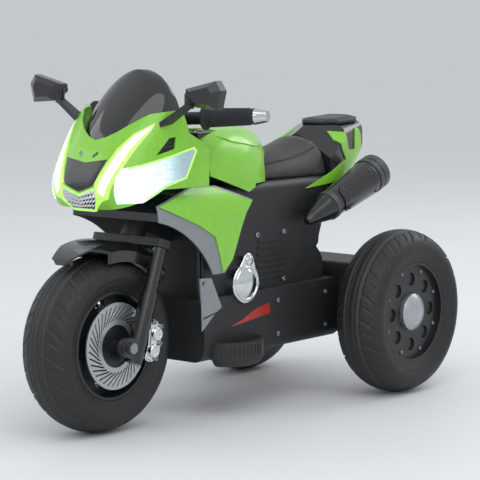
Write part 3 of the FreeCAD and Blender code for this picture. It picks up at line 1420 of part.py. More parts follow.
def engine_covers():
    """Chrome covers shaped like a drop, one on each side."""
    big, small = float(cover_dia) / 2, float(cover_neck) / 2
    y, z = -float(cover_ahead), float(cover_level)
    start, end = float(shell_half), float(tub_half) + float(cover_depth) * 0.6
    low = Part.makeCylinder(big, end - start, Vector(start, y, z), Vector(1, 0, 0))
    high = Part.makeCylinder(small, end - start, Vector(start, y + 6, z + float(cover_rise)), Vector(1, 0, 0))
    neck = [(y - big * 0.8, z + big * 0.5), (y + 6 - small * 0.95, z + float(cover_rise) + 4)]
    neck += [(y + 6 + small * 0.95, z + float(cover_rise) + 4), (y + big * 0.8, z + big * 0.5), (y, z)]
    solid = low.fuse([high, prism(neck, "x", start, end)]).removeSplitter()
    boxes = [(edge, edge.BoundBox) for edge in solid.Edges]
    rims = [edge for edge, box in boxes if abs(box.XMin - end) < 0.01 and abs(box.XMax - end) < 0.01]
    solid = solid.makeFillet(float(cover_depth) * 0.3, rims)
    tub_side = Part.makeBox(float(tub_half), 400, float(tub_top), Vector(0, -200, 0))
    cover = formed("engine_cover_form", solid.cut(tub_side))
    couple("engine_covers", cover)


def rear_end():
    """Rear axle housing with gearboxes and motors."""
    length, high = housing_rear - housing_front, housing_top - housing_base
    outer = block("housing_block", housing_half * 2, length, high, -housing_half, housing_front, housing_base)
    back = float(housing_rear) - 1
    soft_edges = lambda e: along("x")(e) or (along("z")(e) and e.BoundBox.YMin > back)
    outer = rounded("housing_outer", outer, housing_round, soft_edges)
    wall = housing_wall
    inner_half = housing_half - wall
    inner_size = (inner_half * 2, length - wall * 2, high - wall * 2)
    inner = block("housing_inner", *inner_size, -inner_half, housing_front + wall, housing_base + wall)
    inner = rounded("housing_hollow", inner, housing_round - wall, along("x"))
    axle = (wheelbase / 2, rear_dia / 2)
    bore = rod("housing_bore", axle_dia, housing_half * 4, -housing_half * 2, axle[0], axle[1], "x")
    piece("axle_housing", cut("housing_cut", outer, inner, bore))

    box_x = housing_half - wall - gearbox_width
    box_z = housing_base + wall
    box_front = axle[0] - gearbox_length / 2
    case = block("gearbox_block", gearbox_width, gearbox_length, gearbox_height, box_x, box_front, box_z)
    case = rounded("gearbox_round", case, 10, along("x"))
    hole = rod("gearbox_hole", axle_dia, gearbox_width * 3, box_x - gearbox_width, axle[0], axle[1], "x")
    case = cut("gearbox_cut", case, hole)
    couple("gearboxes", case)
    motor_y = axle[0] + motor_dia * 0.55
    motor_z = box_z + gearbox_height - motor_dia * 0.6
    motor = rod("motor_rod", motor_dia, motor_length, box_x - motor_length, motor_y, motor_z, "x")
    couple("motors", motor)


def inside():
    """Battery and speaker."""
    floor = tub_base + tub_wall
    start = -battery_length / 2 - battery_ahead
    cell = block("battery_block", battery_width, battery_length, battery_height, -battery_width / 2, start, floor)
    piece("battery", rounded("battery_round", cell, 3, along("z")))
    piece("speaker", rod("speaker_rod", speaker_dia, speaker_depth, 0, 0, shell_top))


def pedal():
    """Accelerator pedal on a pin between two lugs of the right footboard."""
    x = -tub_half - 1 - pedal_lug - pedal_width - 0.5
    barrel = rod("pedal_barrel", pedal_pin_dia * 2, pedal_width, x, pedal_y, pedal_z, "x")
    plate = block("pedal_plate", pedal_width, pedal_length, pedal_thickness, 0, -pedal_length, -pedal_thickness / 2)
    plate = rounded("pedal_round", plate, 4, lambda e: along("z")(e) and e.BoundBox.YMin < -float(pedal_length) + 1)
    plate.Placement = Placement(Vector(), Rotation(Vector(-1, 0, 0), float(pedal_tilt)))
    plate.setExpression("Placement.Rotation.Angle", pedal_tilt.text)
    place(plate, x, pedal_y, pedal_z)
    hole = rod("pedal_hole", pedal_pin_dia + 0.1, pedal_width * 2, x - pedal_width / 2, pedal_y, pedal_z, "x")
    piece("accelerator_pedal", cut("pedal_cut", fuse("pedal_fuse", barrel, plate), hole))


def screws():
    """Screw heads of the tub sides and the axle housing."""
    heads = []
    for i, (y, z) in enumerate(((60, 190), (60, 130), (200, 190), (200, 130))):
        heads.append(rod("screw_left_%d" % i, screw_dia, screw_height, tub_half, y, z, "x"))
        heads.append(rod("screw_right_%d" % i, screw_dia, screw_height, -tub_half - screw_height, y, z, "x"))
    for i, sign in enumerate((1, -1)):
        for j, z in enumerate((housing_base + housing_round * 2, housing_top - housing_round * 2)):
            x = housing_half * 0.7 * sign
            heads.append(rod("screw_rear_%d_%d" % (i, j), screw_dia, screw_height, x, housing_rear, z, "y"))
    piece("body_screws", group("screw_group", *heads))


def finish():
    """Checks each piece and writes it."""
    doc.recompute()
    os.makedirs("parts", exist_ok=True)
    for obj in doc.Objects:
        bad = [state for state in obj.State if state in ("Invalid", "Error")]
        if bad:
            raise RuntimeError("%s: %s" % (obj.Name, bad))
    for node, obj in pieces:
        shape = obj.Shape
        if shape.isNull() or not shape.isValid() or not shape.Solids:
            raise RuntimeError("%s has no valid solid" % node)
        shape.exportStep("parts/%s.step" % node)
        box = shape.optimalBoundingBox()
        spans = (box.XMin, box.XMax, box.YMin, box.YMax, box.ZMin, box.ZMax)
        print("%-20s %2d solids %9.0f mm3 " % (node, len(shape.Solids), shape.Volume), [round(v, 1) for v in spans])


front_wheel()
rear_wheels()
steering()
head()
head_bracket()
handlebar()
mirrors()
fender()
tub()
middle_shells()
fairings()
tank()
seat()
tail()
mufflers()
engine_covers()
rear_end()
inside()
pedal()
screws()
finish()
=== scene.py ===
"""Looks of the three-wheel ride-on motorbike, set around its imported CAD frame.

Fields hold millimetres and meshes hold metres. Forward is -Y, the rider's left is +X and up is +Z.
"""

import json
import logging
import math
from contextlib import contextmanager
from dataclasses import dataclass, field
from enum import Enum
from functools import cache
from typing import Any, Callable, Iterable, Iterator, Sequence

import bmesh
import bpy
from bmesh.types import BMesh, BMFace, BMVert
from bpy.types import Material, Mesh, Node, NodeSocket, NodeTree, Object
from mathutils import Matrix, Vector
from mathutils.bvhtree import BVHTree
from mathutils.kdtree import KDTree

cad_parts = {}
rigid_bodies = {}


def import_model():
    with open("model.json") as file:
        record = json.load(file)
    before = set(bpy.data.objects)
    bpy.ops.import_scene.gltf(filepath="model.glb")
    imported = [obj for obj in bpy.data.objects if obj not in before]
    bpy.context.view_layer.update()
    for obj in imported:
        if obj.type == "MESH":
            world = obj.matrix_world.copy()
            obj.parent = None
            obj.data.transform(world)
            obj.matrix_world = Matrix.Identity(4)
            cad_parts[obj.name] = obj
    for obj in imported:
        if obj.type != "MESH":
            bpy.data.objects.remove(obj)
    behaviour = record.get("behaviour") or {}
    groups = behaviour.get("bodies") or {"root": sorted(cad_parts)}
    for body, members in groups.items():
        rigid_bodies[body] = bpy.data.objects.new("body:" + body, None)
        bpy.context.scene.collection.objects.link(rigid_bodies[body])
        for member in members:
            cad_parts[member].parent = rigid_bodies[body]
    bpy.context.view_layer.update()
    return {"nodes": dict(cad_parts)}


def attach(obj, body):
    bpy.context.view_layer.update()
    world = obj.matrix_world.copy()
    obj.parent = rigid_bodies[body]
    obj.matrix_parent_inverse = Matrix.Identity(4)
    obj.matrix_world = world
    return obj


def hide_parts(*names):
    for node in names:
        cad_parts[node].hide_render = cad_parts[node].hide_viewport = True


for leftover in list(bpy.data.objects):
    bpy.data.objects.remove(leftover)
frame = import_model()

log = logging.getLogger("motorbike")
MM = 0.001
Pair = tuple[float, float]
Triple = tuple[float, float, float]
Four = tuple[float, float, float, float]
OUT, IN = Vector((1, 0, 0)), Vector((-1, 0, 0))
BACK, UP = Vector((0, 1, 0)), Vector((0, 0, 1))
SIDES = (1, -1)


def linear(colour: str, alpha: float = 1.0) -> Four:
    """Turns an sRGB hex colour to the linear values that shaders take.

    Args:
        colour: a colour such as "#8ccf3e".
        alpha: the fourth value.

    Returns:
        Red, green and blue in linear light, and alpha.
    """
    parts = [int(colour[i : i + 2], 16) / 255 for i in (1, 3, 5)]
    red, green, blue = (v / 12.92 if v <= 0.04045 else ((v + 0.055) / 1.055) ** 2.4 for v in parts)
    return red, green, blue, alpha


def add(tree: NodeTree, kind: str, inputs: dict[Any, Any] | None = None, **settings: Any) -> Node:
    """Adds one node to a tree with its settings and links.

    Args:
        tree: the material's or geometry's node tree.
        kind: the node's type name.
        inputs: a value or an output socket for each input, by the input's name or number.
        settings: the node's own properties.

    Returns:
        The new node.
    """
    node = tree.nodes.new(kind)
    for key, value in settings.items():
        setattr(node, key, value)
    for key, value in (inputs or {}).items():
        if isinstance(value, NodeSocket):
            tree.links.new(value, node.inputs[key])
        else:
            node.inputs[key].default_value = value
    return node


def noise(tree: NodeTree, place: NodeSocket, scale: float, detail: float, **more: float) -> Node:
    """Adds a cloudy noise at a place, so many to the metre."""
    return add(tree, "ShaderNodeTexNoise", {"Vector": place, "Scale": scale, "Detail": detail} | more)


def mixed(tree: NodeTree, share: NodeSocket, one: Any, two: Any) -> NodeSocket:
    """Adds a mix of two colours by a share and gives the colour."""
    return add(tree, "ShaderNodeMix", {0: share, 6: one, 7: two}, data_type="RGBA").outputs[2]


def span(
    tree: NodeTree, value: NodeSocket, source: Pair, target: Pair = (0.0, 1.0), soft: bool = False
) -> NodeSocket:
    """Adds a change of range.

    Args:
        tree: the material's nodes.
        value: the value.
        source: the values that become the two of target.
        target: what they become.
        soft: whether the change eases in and out.

    Returns:
        The changed value.
    """
    ends = {"From Min": source[0], "From Max": source[1], "To Min": target[0], "To Max": target[1]}
    kind = "SMOOTHSTEP" if soft else "LINEAR"
    return add(tree, "ShaderNodeMapRange", {"Value": value} | ends, interpolation_type=kind).outputs[0]


def new_material(name: str) -> Material:
    """Starts a material with an empty node tree."""
    material = bpy.data.materials.new(name)
    material.use_nodes = True
    material.node_tree.nodes.clear()
    return material


class Grain(Enum):
    """The pattern that a way of making leaves in a surface."""

    PEEL = "soft waves of a polished mould or of gloss paint"
    PEBBLE = "small pebbles of an etched mould"
    HIDE = "creases of embossed leathercloth"
    DRAWN = "lines of drawn or turned metal"
    FLAKE = "flakes in metallic paint"


@dataclass(frozen=True)
class Finish:
    """A surface: what it is made of, its colours, its gloss and the pattern of its making.

    The pattern's scale is a real size. Edges of moulded pieces are rounded by edge_mm and made lighter there,
    partly as rubbed wear and partly as a painted highlight.
    """

    name: str
    colour: str
    shade: str
    grain: Grain
    grain_mm: float
    relief_mm: float
    rough: Pair
    metallic: float = 0.0
    coat: float = 0.0
    ior: float = 1.5
    transmission: float = 0.0
    sheen: float = 0.0
    edge_mm: float = 0.8
    edge_wear_and_highlight: str = ""
    cloud_mm: float = 70.0

    def pattern(self, tree: NodeTree, place: NodeSocket) -> NodeSocket:
        """Adds the pattern of the surface's making.

        Args:
            tree: the material's nodes.
            place: Object coordinates.

        Returns:
            The pattern's height, about 0 to 1.
        """
        scale = 1 / (self.grain_mm * MM)
        if self.grain is Grain.PEEL:
            return noise(tree, place, scale, 1.0).outputs[0]
        if self.grain is Grain.PEBBLE:
            cells = add(tree, "ShaderNodeTexVoronoi", {"Vector": place, "Scale": scale}, feature="SMOOTH_F1")
            return cells.outputs["Distance"]
        if self.grain is Grain.HIDE:
            sway = {0: noise(tree, place, scale / 3, 2.0).outputs["Color"], 3: self.grain_mm * MM}
            shift = add(tree, "ShaderNodeVectorMath", sway, operation="SCALE")
            moved = add(tree, "ShaderNodeVectorMath", {0: place, 1: shift.outputs[0]}, operation="ADD")
            grid = {"Vector": moved.outputs[0], "Scale": scale}
            cells = add(tree, "ShaderNodeTexVoronoi", grid, feature="DISTANCE_TO_EDGE")
            return span(tree, cells.outputs["Distance"], (0.0, 0.16), soft=True)
        if self.grain is Grain.DRAWN:
            drawn = add(tree, "ShaderNodeMapping", {"Vector": place, "Scale": (0.06, 1.0, 1.0)})
            return noise(tree, drawn.outputs[0], scale, 3.0).outputs[0]
        flakes = add(tree, "ShaderNodeTexVoronoi", {"Vector": place, "Scale": scale})
        return add(tree, "ShaderNodeSeparateColor", {0: flakes.outputs["Color"]}).outputs[0]

    def shader(self, tree: NodeTree) -> Node:
        """Adds the surface's shader with its colour, gloss and relief.

        Args:
            tree: the material's nodes.

        Returns:
            The shader's node.
        """
        place = add(tree, "ShaderNodeTexCoord").outputs["Object"]
        cloud = noise(tree, place, 1 / (self.cloud_mm * MM), 5.0, Roughness=0.65).outputs[0]
        height = self.pattern(tree, place)
        both = add(tree, "ShaderNodeMath", {0: height, 1: cloud}, operation="MULTIPLY").outputs[0]
        colour = mixed(tree, span(tree, both, (0.12, 0.5)), linear(self.colour), linear(self.shade))
        rough = span(tree, both, (0.1, 0.55), self.rough)
        bump = {"Height": height, "Strength": 1.0, "Distance": self.relief_mm * MM}
        if self.edge_mm > 0:
            rounding = add(tree, "ShaderNodeBevel", {"Radius": self.edge_mm * MM}, samples=4).outputs[0]
            bump["Normal"] = rounding
            # Lighter colour along edges and in corners: partly rubbed wear and dust, partly a painted highlight.
            if self.edge_wear_and_highlight:
                flat = add(tree, "ShaderNodeNewGeometry").outputs["Normal"]
                turn = add(tree, "ShaderNodeVectorMath", {0: rounding, 1: flat}, operation="DOT_PRODUCT")
                wear_and_highlight_share = span(tree, turn.outputs["Value"], (0.98, 0.8), (0.0, 0.5))
                patchy_wear_and_highlight = add(tree, "ShaderNodeMath", {0: wear_and_highlight_share, 1: cloud}, operation="MULTIPLY").outputs[0]
                colour = mixed(tree, patchy_wear_and_highlight, colour, linear(self.edge_wear_and_highlight))
        normal = add(tree, "ShaderNodeBump", bump).outputs[0]
        values = {"Base Color": colour, "Roughness": rough, "Normal": normal, "Metallic": self.metallic}
        values |= {"Coat Weight": self.coat, "Coat Roughness": 0.06, "IOR": self.ior}
        values |= {"Transmission Weight": self.transmission, "Sheen Weight": self.sheen}
        return add(tree, "ShaderNodeBsdfPrincipled", values)

    def make(self) -> Material:
        """Makes the material once, under the finish's name.

        Returns:
            The material.
        """
        known = bpy.data.materials.get(self.name)
        if known:
            return known
        material = new_material(self.name)
        shader = self.shader(material.node_tree)
        add(material.node_tree, "ShaderNodeOutputMaterial", {"Surface": shader.outputs[0]})
        return material


@dataclass(frozen=True)
class LitFinish(Finish):
    """A clear moulding with light-emitting diodes behind it: bright cores in a paler field."""

    glow: str = "#ffffff"
    field_glow: str = "#ffffff"
    strength: float = 1.0
    cell_mm: float = 9.0
    fade: Triple | None = None

    def shader(self, tree: NodeTree) -> Node:
        """Adds the shader with its light.

        Args:
            tree: the material's nodes.

        Returns:
            The shader's node.
        """
        shader = super().shader(tree)
        place = add(tree, "ShaderNodeTexCoord").outputs["Object"]
        diodes = {"Vector": place, "Scale": 1 / (self.cell_mm * MM), "Randomness": 0.35}
        reach = add(tree, "ShaderNodeTexVoronoi", diodes).outputs["Distance"]
        share = span(tree, reach, (0.15, 0.6), (1.0, 0.0))
        light = mixed(tree, share, linear(self.field_glow), linear(self.glow))
        tree.links.new(light, shader.inputs["Emission Color"])
        shader.inputs["Emission Strength"].default_value = self.strength
        if self.fade:
            front, back, left = self.fade
            along = add(tree, "ShaderNodeSeparateXYZ", {0: place}).outputs["Y"]
            level = span(tree, along, (front * MM, back * MM), (self.strength, left), soft=True)
            tree.links.new(level, shader.inputs["Emission Strength"])
        return shader


@dataclass(frozen=True)
class TreadFinish(Finish):
    """Moulded tyre rubber, with dust where the tread's grooves are deep."""

    dust: str = "#6d6a64"

    def shader(self, tree: NodeTree) -> Node:
        """Adds the shader with its dust.

        Args:
            tree: the material's nodes.

        Returns:
            The shader's node.
        """
        shader = super().shader(tree)
        rubber = shader.inputs["Base Color"].links[0].from_socket
        groove = add(tree, "ShaderNodeAttribute", attribute_name="groove").outputs["Fac"]
        dusty = mixed(tree, span(tree, groove, (0.0, 3.5), (0.0, 0.3)), rubber, linear(self.dust))
        tree.links.new(dusty, shader.inputs["Base Color"])
        return shader


# Glossy injection-moulded ABS: deep even colour under a hard clear shine, with a faint ripple from the mould.
LIME = Finish(
    "lime_gloss_abs", "#84cb36", "#78bd2c", Grain.PEEL, 9.0, 0.035, (0.24, 0.34), coat=0.35, edge_wear_and_highlight="#a2da62",
)
BLACK = Finish(
    "black_gloss_abs", "#17181a", "#1d1e20", Grain.PEEL, 8.0, 0.03, (0.2, 0.32), coat=0.35, edge_wear_and_highlight="#3a3c3e",
)
GREY = Finish(
    "grey_satin_abs", "#84898d", "#7b8084", Grain.PEEL, 6.0, 0.03, (0.34, 0.44), coat=0.15, edge_wear_and_highlight="#a4a8ab",
)
# Etched polypropylene: dull black with pebbles, drawn at 2 mm because the true 0.5 mm would not show.
MATTE = Finish(
    "black_etched_polypropylene", "#1f2022", "#262729", Grain.PEBBLE, 2.0, 0.09, (0.46, 0.62), edge_wear_and_highlight="#45474a",
)
RIM = Finish(
    "black_satin_polypropylene", "#1a1b1d", "#222325", Grain.PEBBLE, 1.6, 0.04, (0.34, 0.48), edge_wear_and_highlight="#3d3f42",
)
# Moulded tyre rubber: dull, charcoal rather than black, with road dust in the grooves.
TYRE = TreadFinish("tyre_rubber", "#1b1c1d", "#252627", Grain.PEBBLE, 1.8, 0.07, (0.5, 0.68), edge_mm=0)
# Silver paint with aluminium flake on plastic: bright, slightly grainy and soft in its reflections.
SILVER = Finish(
    "silver_flake_paint", "#b9bdc0", "#9ea3a7", Grain.FLAKE, 0.9, 0.01, (0.3, 0.42), metallic=0.75, coat=0.2,
)
# Vacuum-plated ABS: mirror bright, with the faint waves of the plastic below.
CHROME = Finish(
    "plated_chrome", "#d9dcde", "#c3c7ca", Grain.PEEL, 14.0, 0.05, (0.07, 0.14), metallic=1.0, edge_mm=1.0,
)
# Zinc-plated steel: greyish metal with fine drawn lines.
STEEL = Finish("zinc_plated_steel", "#9fa2a4", "#8a8d8f", Grain.DRAWN, 1.2, 0.02, (0.32, 0.46), metallic=1.0)
# Smoked polycarbonate sheet: nearly black, and light passes only where it is thin.
SMOKED = Finish(
    "smoked_polycarbonate", "#1b1e20", "#141618", Grain.PEEL, 22.0, 0.02, (0.05, 0.09), coat=0.4, ior=1.58,
    transmission=0.12, edge_mm=0,
)
# Clear polycarbonate over cool white diodes.
LENS = LitFinish(
    "lamp_lens_polycarbonate", "#9fb4b8", "#8aa2a8", Grain.PEEL, 7.0, 0.05, (0.06, 0.12),
    coat=0.6, ior=1.58, edge_mm=0,
    glow="#ffffff", field_glow="#b4e4ee", strength=1.5, cell_mm=8.0, fade=(-300.0, -205.0, 0.16),
)
# Milky light guide: the whole strip glows, white in the middle and lime where it thins out.
GUIDE = LitFinish(
    "light_guide_acrylic", "#b9e67c", "#a9dc64", Grain.PEEL, 6.0, 0.02, (0.15, 0.22), coat=0.3, edge_mm=0,
    glow="#b6f25c", field_glow="#8fe02e", strength=0.7, cell_mm=14.0,
)
CORE = LitFinish(
    "light_guide_core", "#ffffff", "#f7fff0", Grain.PEEL, 6.0, 0.01, (0.2, 0.3), edge_mm=0,
    glow="#ffffff", field_glow="#f6ffe2", strength=1.0, cell_mm=10.0,
)
# Red acrylic lens with small prisms moulded inside.
RED_LENS = LitFinish(
    "red_lens_acrylic", "#a80d10", "#8c090c", Grain.PEBBLE, 3.0, 0.12, (0.1, 0.18), coat=0.5, edge_mm=0,
    glow="#ff3a2e", field_glow="#8c0a0a", strength=0.25, cell_mm=4.0,
)
MIRROR = Finish(
    "silvered_mirror", "#e6e9ea", "#dfe3e5", Grain.PEEL, 60.0, 0.004, (0.02, 0.04), metallic=1.0, edge_mm=0,
)
# Soft thermoplastic rubber of the grips: dull with a slight bloom.
GRIP = Finish(
    "grip_rubber", "#1c1d1e", "#262728", Grain.PEBBLE, 1.4, 0.06, (0.55, 0.72), sheen=0.15, edge_mm=0.4,
)
# Embossed leathercloth of the seat: creased grain, drawn at 3 mm so that it shows, and a soft sheen.
HIDE = Finish(
    "seat_leathercloth", "#1e1f20", "#151617", Grain.HIDE, 3.0, 0.16, (0.4, 0.56), sheen=0.1, edge_mm=0,
)
THREAD = Finish(
    "polyester_thread", "#55585a", "#46494b", Grain.DRAWN, 0.6, 0.05, (0.6, 0.75), sheen=0.3, edge_mm=0,
)
# Dark grey heat paint on the muffler ends: dull metal look with a fine grain.
GUNMETAL = Finish(
    "dark_grey_heat_paint", "#55585b", "#484b4e", Grain.FLAKE, 1.1, 0.02, (0.34, 0.46), metallic=0.55,
)
CELL = Finish("battery_case_abs", "#3c4046", "#34383d", Grain.PEBBLE, 1.5, 0.03, (0.4, 0.5), edge_wear_and_highlight="#5a5e64")
# Red screen-printed film on the tub's side: flat and a little glossier than the plastic.
FILM = Finish(
    "red_printed_film", "#b3211c", "#8f1714", Grain.PEEL, 12.0, 0.01, (0.24, 0.34), coat=0.2, edge_mm=0,
)

SLOT_FINISHES: dict[str, Finish] = {
    "lime_gloss": LIME, "black_gloss": BLACK, "black_matte": MATTE, "grey_plastic": GREY, "tyre_black": TYRE,
    "rim_black": RIM, "silver": SILVER, "chrome": CHROME, "steel": STEEL, "smoked": SMOKED, "lamp_lens": LENS,
    "lamp_strip": GUIDE, "red_lens": RED_LENS, "mirror": MIRROR, "grip_rubber": GRIP, "seat_cover": HIDE,
    "cell_case": CELL,
}
NODE_FINISHES: dict[str, Finish] = {
    "side_fairings": GREY, "power_button": RED_LENS, "muffler_tips": GUNMETAL, "bar_ends": CHROME,
    "centre_lamp": GUIDE,
}


def point(x: float, y: float, z: float) -> Vector:
    """A place in the part's frame, given in millimetres."""
    return Vector((x, y, z)) * MM


def smooth(low: float, high: float, value: float) -> float:
    """A soft step: 0 below low, 1 above high."""
    share = min(1.0, max(0.0, (value - low) / (high - low)))
    return share * share * (3 - 2 * share)


def curve_through(points: Sequence[Sequence[float]], steps: int | Sequence[int]) -> list[tuple[float, ...]]:
    """Points on a smooth curve through some others.

    Args:
        points: the curve's points, of any number of values each.
        steps: how many parts each stretch gets.

    Returns:
        The denser points, first and last included.
    """
    out: list[tuple[float, ...]] = []
    counts = [steps] * (len(points) - 1) if isinstance(steps, int) else list(steps)
    for i, count in enumerate(counts):
        before, start, end = points[max(i - 1, 0)], points[i], points[i + 1]
        after = points[min(i + 2, len(points) - 1)]
        for step in range(count):
            t = step / count
            out.append(tuple(
                0.5 * (2 * b + (c - a) * t + (2 * a - 5 * b + 4 * c - d) * t * t + (3 * b - a - 3 * c + d) * t**3)
                for a, b, c, d in zip(before, start, end, after)
            ))
    out.append(tuple(points[-1]))
    return out


def new_object(name: str, mesh: Mesh) -> Object:
    """Links a mesh to the scene as an object at the origin."""
    obj = bpy.data.objects.new(name, mesh)
    bpy.context.scene.collection.objects.link(obj)
    return obj


@contextmanager
def edited(mesh: Mesh) -> Iterator[BMesh]:
    """Opens a mesh for editing and writes it back at the end.

    Args:
        mesh: the mesh.

    Returns:
        The editable copy, for a with statement.
    """
    build = bmesh.new()
    build.from_mesh(mesh)
    yield build
    build.to_mesh(mesh)
    build.free()


def ring_faces(rings: int, parts: int) -> list[tuple[int, ...]]:
    """The faces between rings of points that follow one another.

    Args:
        rings: how many rings there are.
        parts: how many points each ring has.

    Returns:
        The corners of each face.
    """
    faces: list[tuple[int, ...]] = []
    for row in range(rings - 1):
        for i in range(parts):
            j = (i + 1) % parts
            faces.append((row * parts + i, row * parts + j, (row + 1) * parts + j, (row + 1) * parts + i))
    return faces


def grid_faces(rows: int, columns: int) -> list[tuple[int, ...]]:
    """The faces of a grid of points, row by row.

    Args:
        rows: how many rows of points there are.
        columns: how many points each row has.

    Returns:
        The corners of each face.
    """
    corners = [i * columns + j for i in range(rows - 1) for j in range(columns - 1)]
    return [(corner, corner + 1, corner + columns + 1, corner + columns) for corner in corners]


def shape(
    name: str, points: Iterable[Sequence[float]], faces: Iterable[Sequence[int]], sharp: float = 35.0
) -> Object:
    """Makes a closed mesh with its faces outwards, smooth except at sharp edges.

    Args:
        name: the piece's name.
        points: places in metres.
        faces: the corners of each face.
        sharp: edges that turn by more than this many degrees stay sharp.

    Returns:
        The object.
    """
    mesh = bpy.data.meshes.new(name)
    mesh.from_pydata([tuple(p) for p in points], [], [tuple(f) for f in faces])
    with edited(mesh) as build:
        bmesh.ops.remove_doubles(build, verts=build.verts, dist=2e-6)
        bmesh.ops.recalc_face_normals(build, faces=build.faces)
        finish_edges(build, sharp)
    return new_object(name, mesh)


def finish_edges(build: BMesh, sharp: float) -> None:
    """Shades faces smooth and keeps edges sharp that turn by more than some degrees."""
    for face in build.faces:
        face.smooth = True
    for edge in build.edges:
        edge.smooth = len(edge.link_faces) != 2 or edge.calc_face_angle(0.0) < math.radians(sharp)


def settle(obj: Object) -> Object:
    """Turns an object's modifiers into its plain mesh.

    Args:
        obj: an object with modifiers.

    Returns:
        The same object, with none left.
    """
    bpy.context.view_layer.update()
    graph = bpy.context.evaluated_depsgraph_get()
    mesh = bpy.data.meshes.new_from_object(obj.evaluated_get(graph))
    obj.modifiers.clear()
    old, obj.data = obj.data, mesh
    bpy.data.meshes.remove(old)
    return obj


def lathe(name: str, profile: Sequence[Pair], base: Vector, axis: Vector, parts: int = 48) -> Object:
    """Turns a profile about an axis.

    Args:
        name: the piece's name.
        profile: distances along the axis and radii, in millimetres.
        base: the axis's start, in metres.
        axis: the axis's direction.
        parts: faces round the axis.

    Returns:
        The object.
    """
    way = axis.normalized()
    side = way.orthogonal().normalized()
    other = way.cross(side)
    points = []
    for along, radius in profile:
        for i in range(parts):
            angle = math.tau * i / parts
            out = side * math.cos(angle) + other * math.sin(angle)
            points.append(base + way * along * MM + out * radius * MM)
    return shape(name, points, ring_faces(len(profile), parts))


def plate(name: str, outline: Sequence[Pair], near: float, far: float, bevel: float, steps: int = 3) -> Object:
    """A slab with rounded edges, drawn in the side view.

    Args:
        name: the piece's name.
        outline: the slab's corners as (y, z), in millimetres.
        near: its inner face's distance from the centre plane.
        far: its outer face's.
        bevel: the rounding of its edges.
        steps: faces across the rounding.

    Returns:
        The object.
    """
    count = len(outline)
    points = [point(x, y, z) for x in (near, far) for y, z in outline]
    faces: list[tuple[int, ...]] = [tuple(range(count)), tuple(range(count, 2 * count))]
    faces += [(i, (i + 1) % count, (i + 1) % count + count, i + count) for i in range(count)]
    obj = shape(name, points, faces)
    with edited(obj.data) as build:
        edges = build.edges[:]
        bmesh.ops.bevel(build, geom=edges, offset=bevel * MM, segments=steps, affect="EDGES", clamp_overlap=True)
        bmesh.ops.recalc_face_normals(build, faces=build.faces)
        finish_edges(build, 40.0)
    return obj


def with_other_side(obj: Object) -> Object:
    """Adds the right-hand copy of a left-hand piece to its mesh.

    Args:
        obj: a piece on the rider's left.

    Returns:
        The same object.
    """
    with edited(obj.data) as build:
        copy = bmesh.ops.duplicate(build, geom=build.verts[:] + build.edges[:] + build.faces[:])["geom"]
        for item in copy:
            if isinstance(item, BMVert):
                item.co.x = -item.co.x
        bmesh.ops.reverse_faces(build, faces=[item for item in copy if isinstance(item, BMFace)])
    return obj


def joined(name: str, *parts: Object) -> Object:
    """Puts several objects' meshes into one object.

    Args:
        name: the piece's name.
        parts: the objects, which are removed.

    Returns:
        The new object.
    """
    build = bmesh.new()
    for part in parts:
        build.from_mesh(part.data)
        bpy.data.objects.remove(part)
    mesh = bpy.data.meshes.new(name)
    build.to_mesh(mesh)
    build.free()
    return new_object(name, mesh)


def put_on(obj: Object, body: str, slot: str, finish: Finish, *nodes: str) -> Object:
    """Gives a piece its finish, its body and the nodes it stands for.

    Args:
        obj: the piece.
        body: the CAD body that carries it.
        slot: the record's material slot; not used.
        finish: its surface.
        nodes: CAD nodes that it replaces.

    Returns:
        The piece.
    """
    obj.data.materials.clear()
    obj.data.materials.append(finish.make())
    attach(obj, body)
    if nodes:
        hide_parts(*nodes)
    log.info("%s on %s, %d faces", obj.name, body, len(obj.data.polygons))
    return obj


def new_tree(name: str, inputs: dict[str, str]) -> tuple[NodeTree, Node]:
    """Starts a Geometry Nodes tree.

    Args:
        name: the tree's name.
        inputs: the socket type of each named input.

    Returns:
        The tree and its input node.
    """
    tree = bpy.data.node_groups.new(name, "GeometryNodeTree")
    for label, kind in inputs.items():
        tree.interface.new_socket(label, in_out="INPUT", socket_type=kind)
    tree.interface.new_socket("Geometry", in_out="OUTPUT", socket_type="NodeSocketGeometry")
    return tree, add(tree, "NodeGroupInput")


def end_tree(tree: NodeTree, start: Node, result: NodeSocket) -> NodeTree:
    """Ends a tree: its copies become one smooth mesh with the material that was asked for.

    Args:
        tree: the tree.
        start: its input node.
        result: the geometry so far.

    Returns:
        The tree.
    """
    real = add(tree, "GeometryNodeRealizeInstances", {0: result}).outputs[0]
    dressed = add(tree, "GeometryNodeSetMaterial", {"Geometry": real, "Material": start.outputs["Material"]})
    add(tree, "NodeGroupOutput", {0: dressed.outputs[0]})
    return tree


@cache
def ring_tree() -> NodeTree:
    """Copies a slice round the X axis, welds the copies and moves them to a centre.

    Returns:
        The tree, made once.
    """
    sockets = {"Geometry": "NodeSocketGeometry", "Count": "NodeSocketInt", "Centre": "NodeSocketVector"}
    tree, start = new_tree("ring_of_slices", sockets | {"Material": "NodeSocketMaterial"})
    spots = add(tree, "GeometryNodePoints", {"Count": start.outputs["Count"]}).outputs[0]
    number = add(tree, "GeometryNodeInputIndex").outputs[0]
    share = add(tree, "ShaderNodeMath", {0: number, 1: start.outputs["Count"]}, operation="DIVIDE").outputs[0]
    angle = add(tree, "ShaderNodeMath", {0: share, 1: math.tau}, operation="MULTIPLY").outputs[0]
    turn = add(tree, "ShaderNodeCombineXYZ", {"X": angle}).outputs[0]
    copies = {"Points": spots, "Instance": start.outputs["Geometry"], "Rotation": turn}
    ring = add(tree, "GeometryNodeInstanceOnPoints", copies).outputs[0]
    real = add(tree, "GeometryNodeRealizeInstances", {0: ring}).outputs[0]
    welded = add(tree, "GeometryNodeMergeByDistance", {"Geometry": real, "Distance": 0.00002}).outputs[0]
    moved = add(tree, "GeometryNodeTransform", {"Geometry": welded, "Translation": start.outputs["Centre"]})
    return end_tree(tree, start, moved.outputs[0])


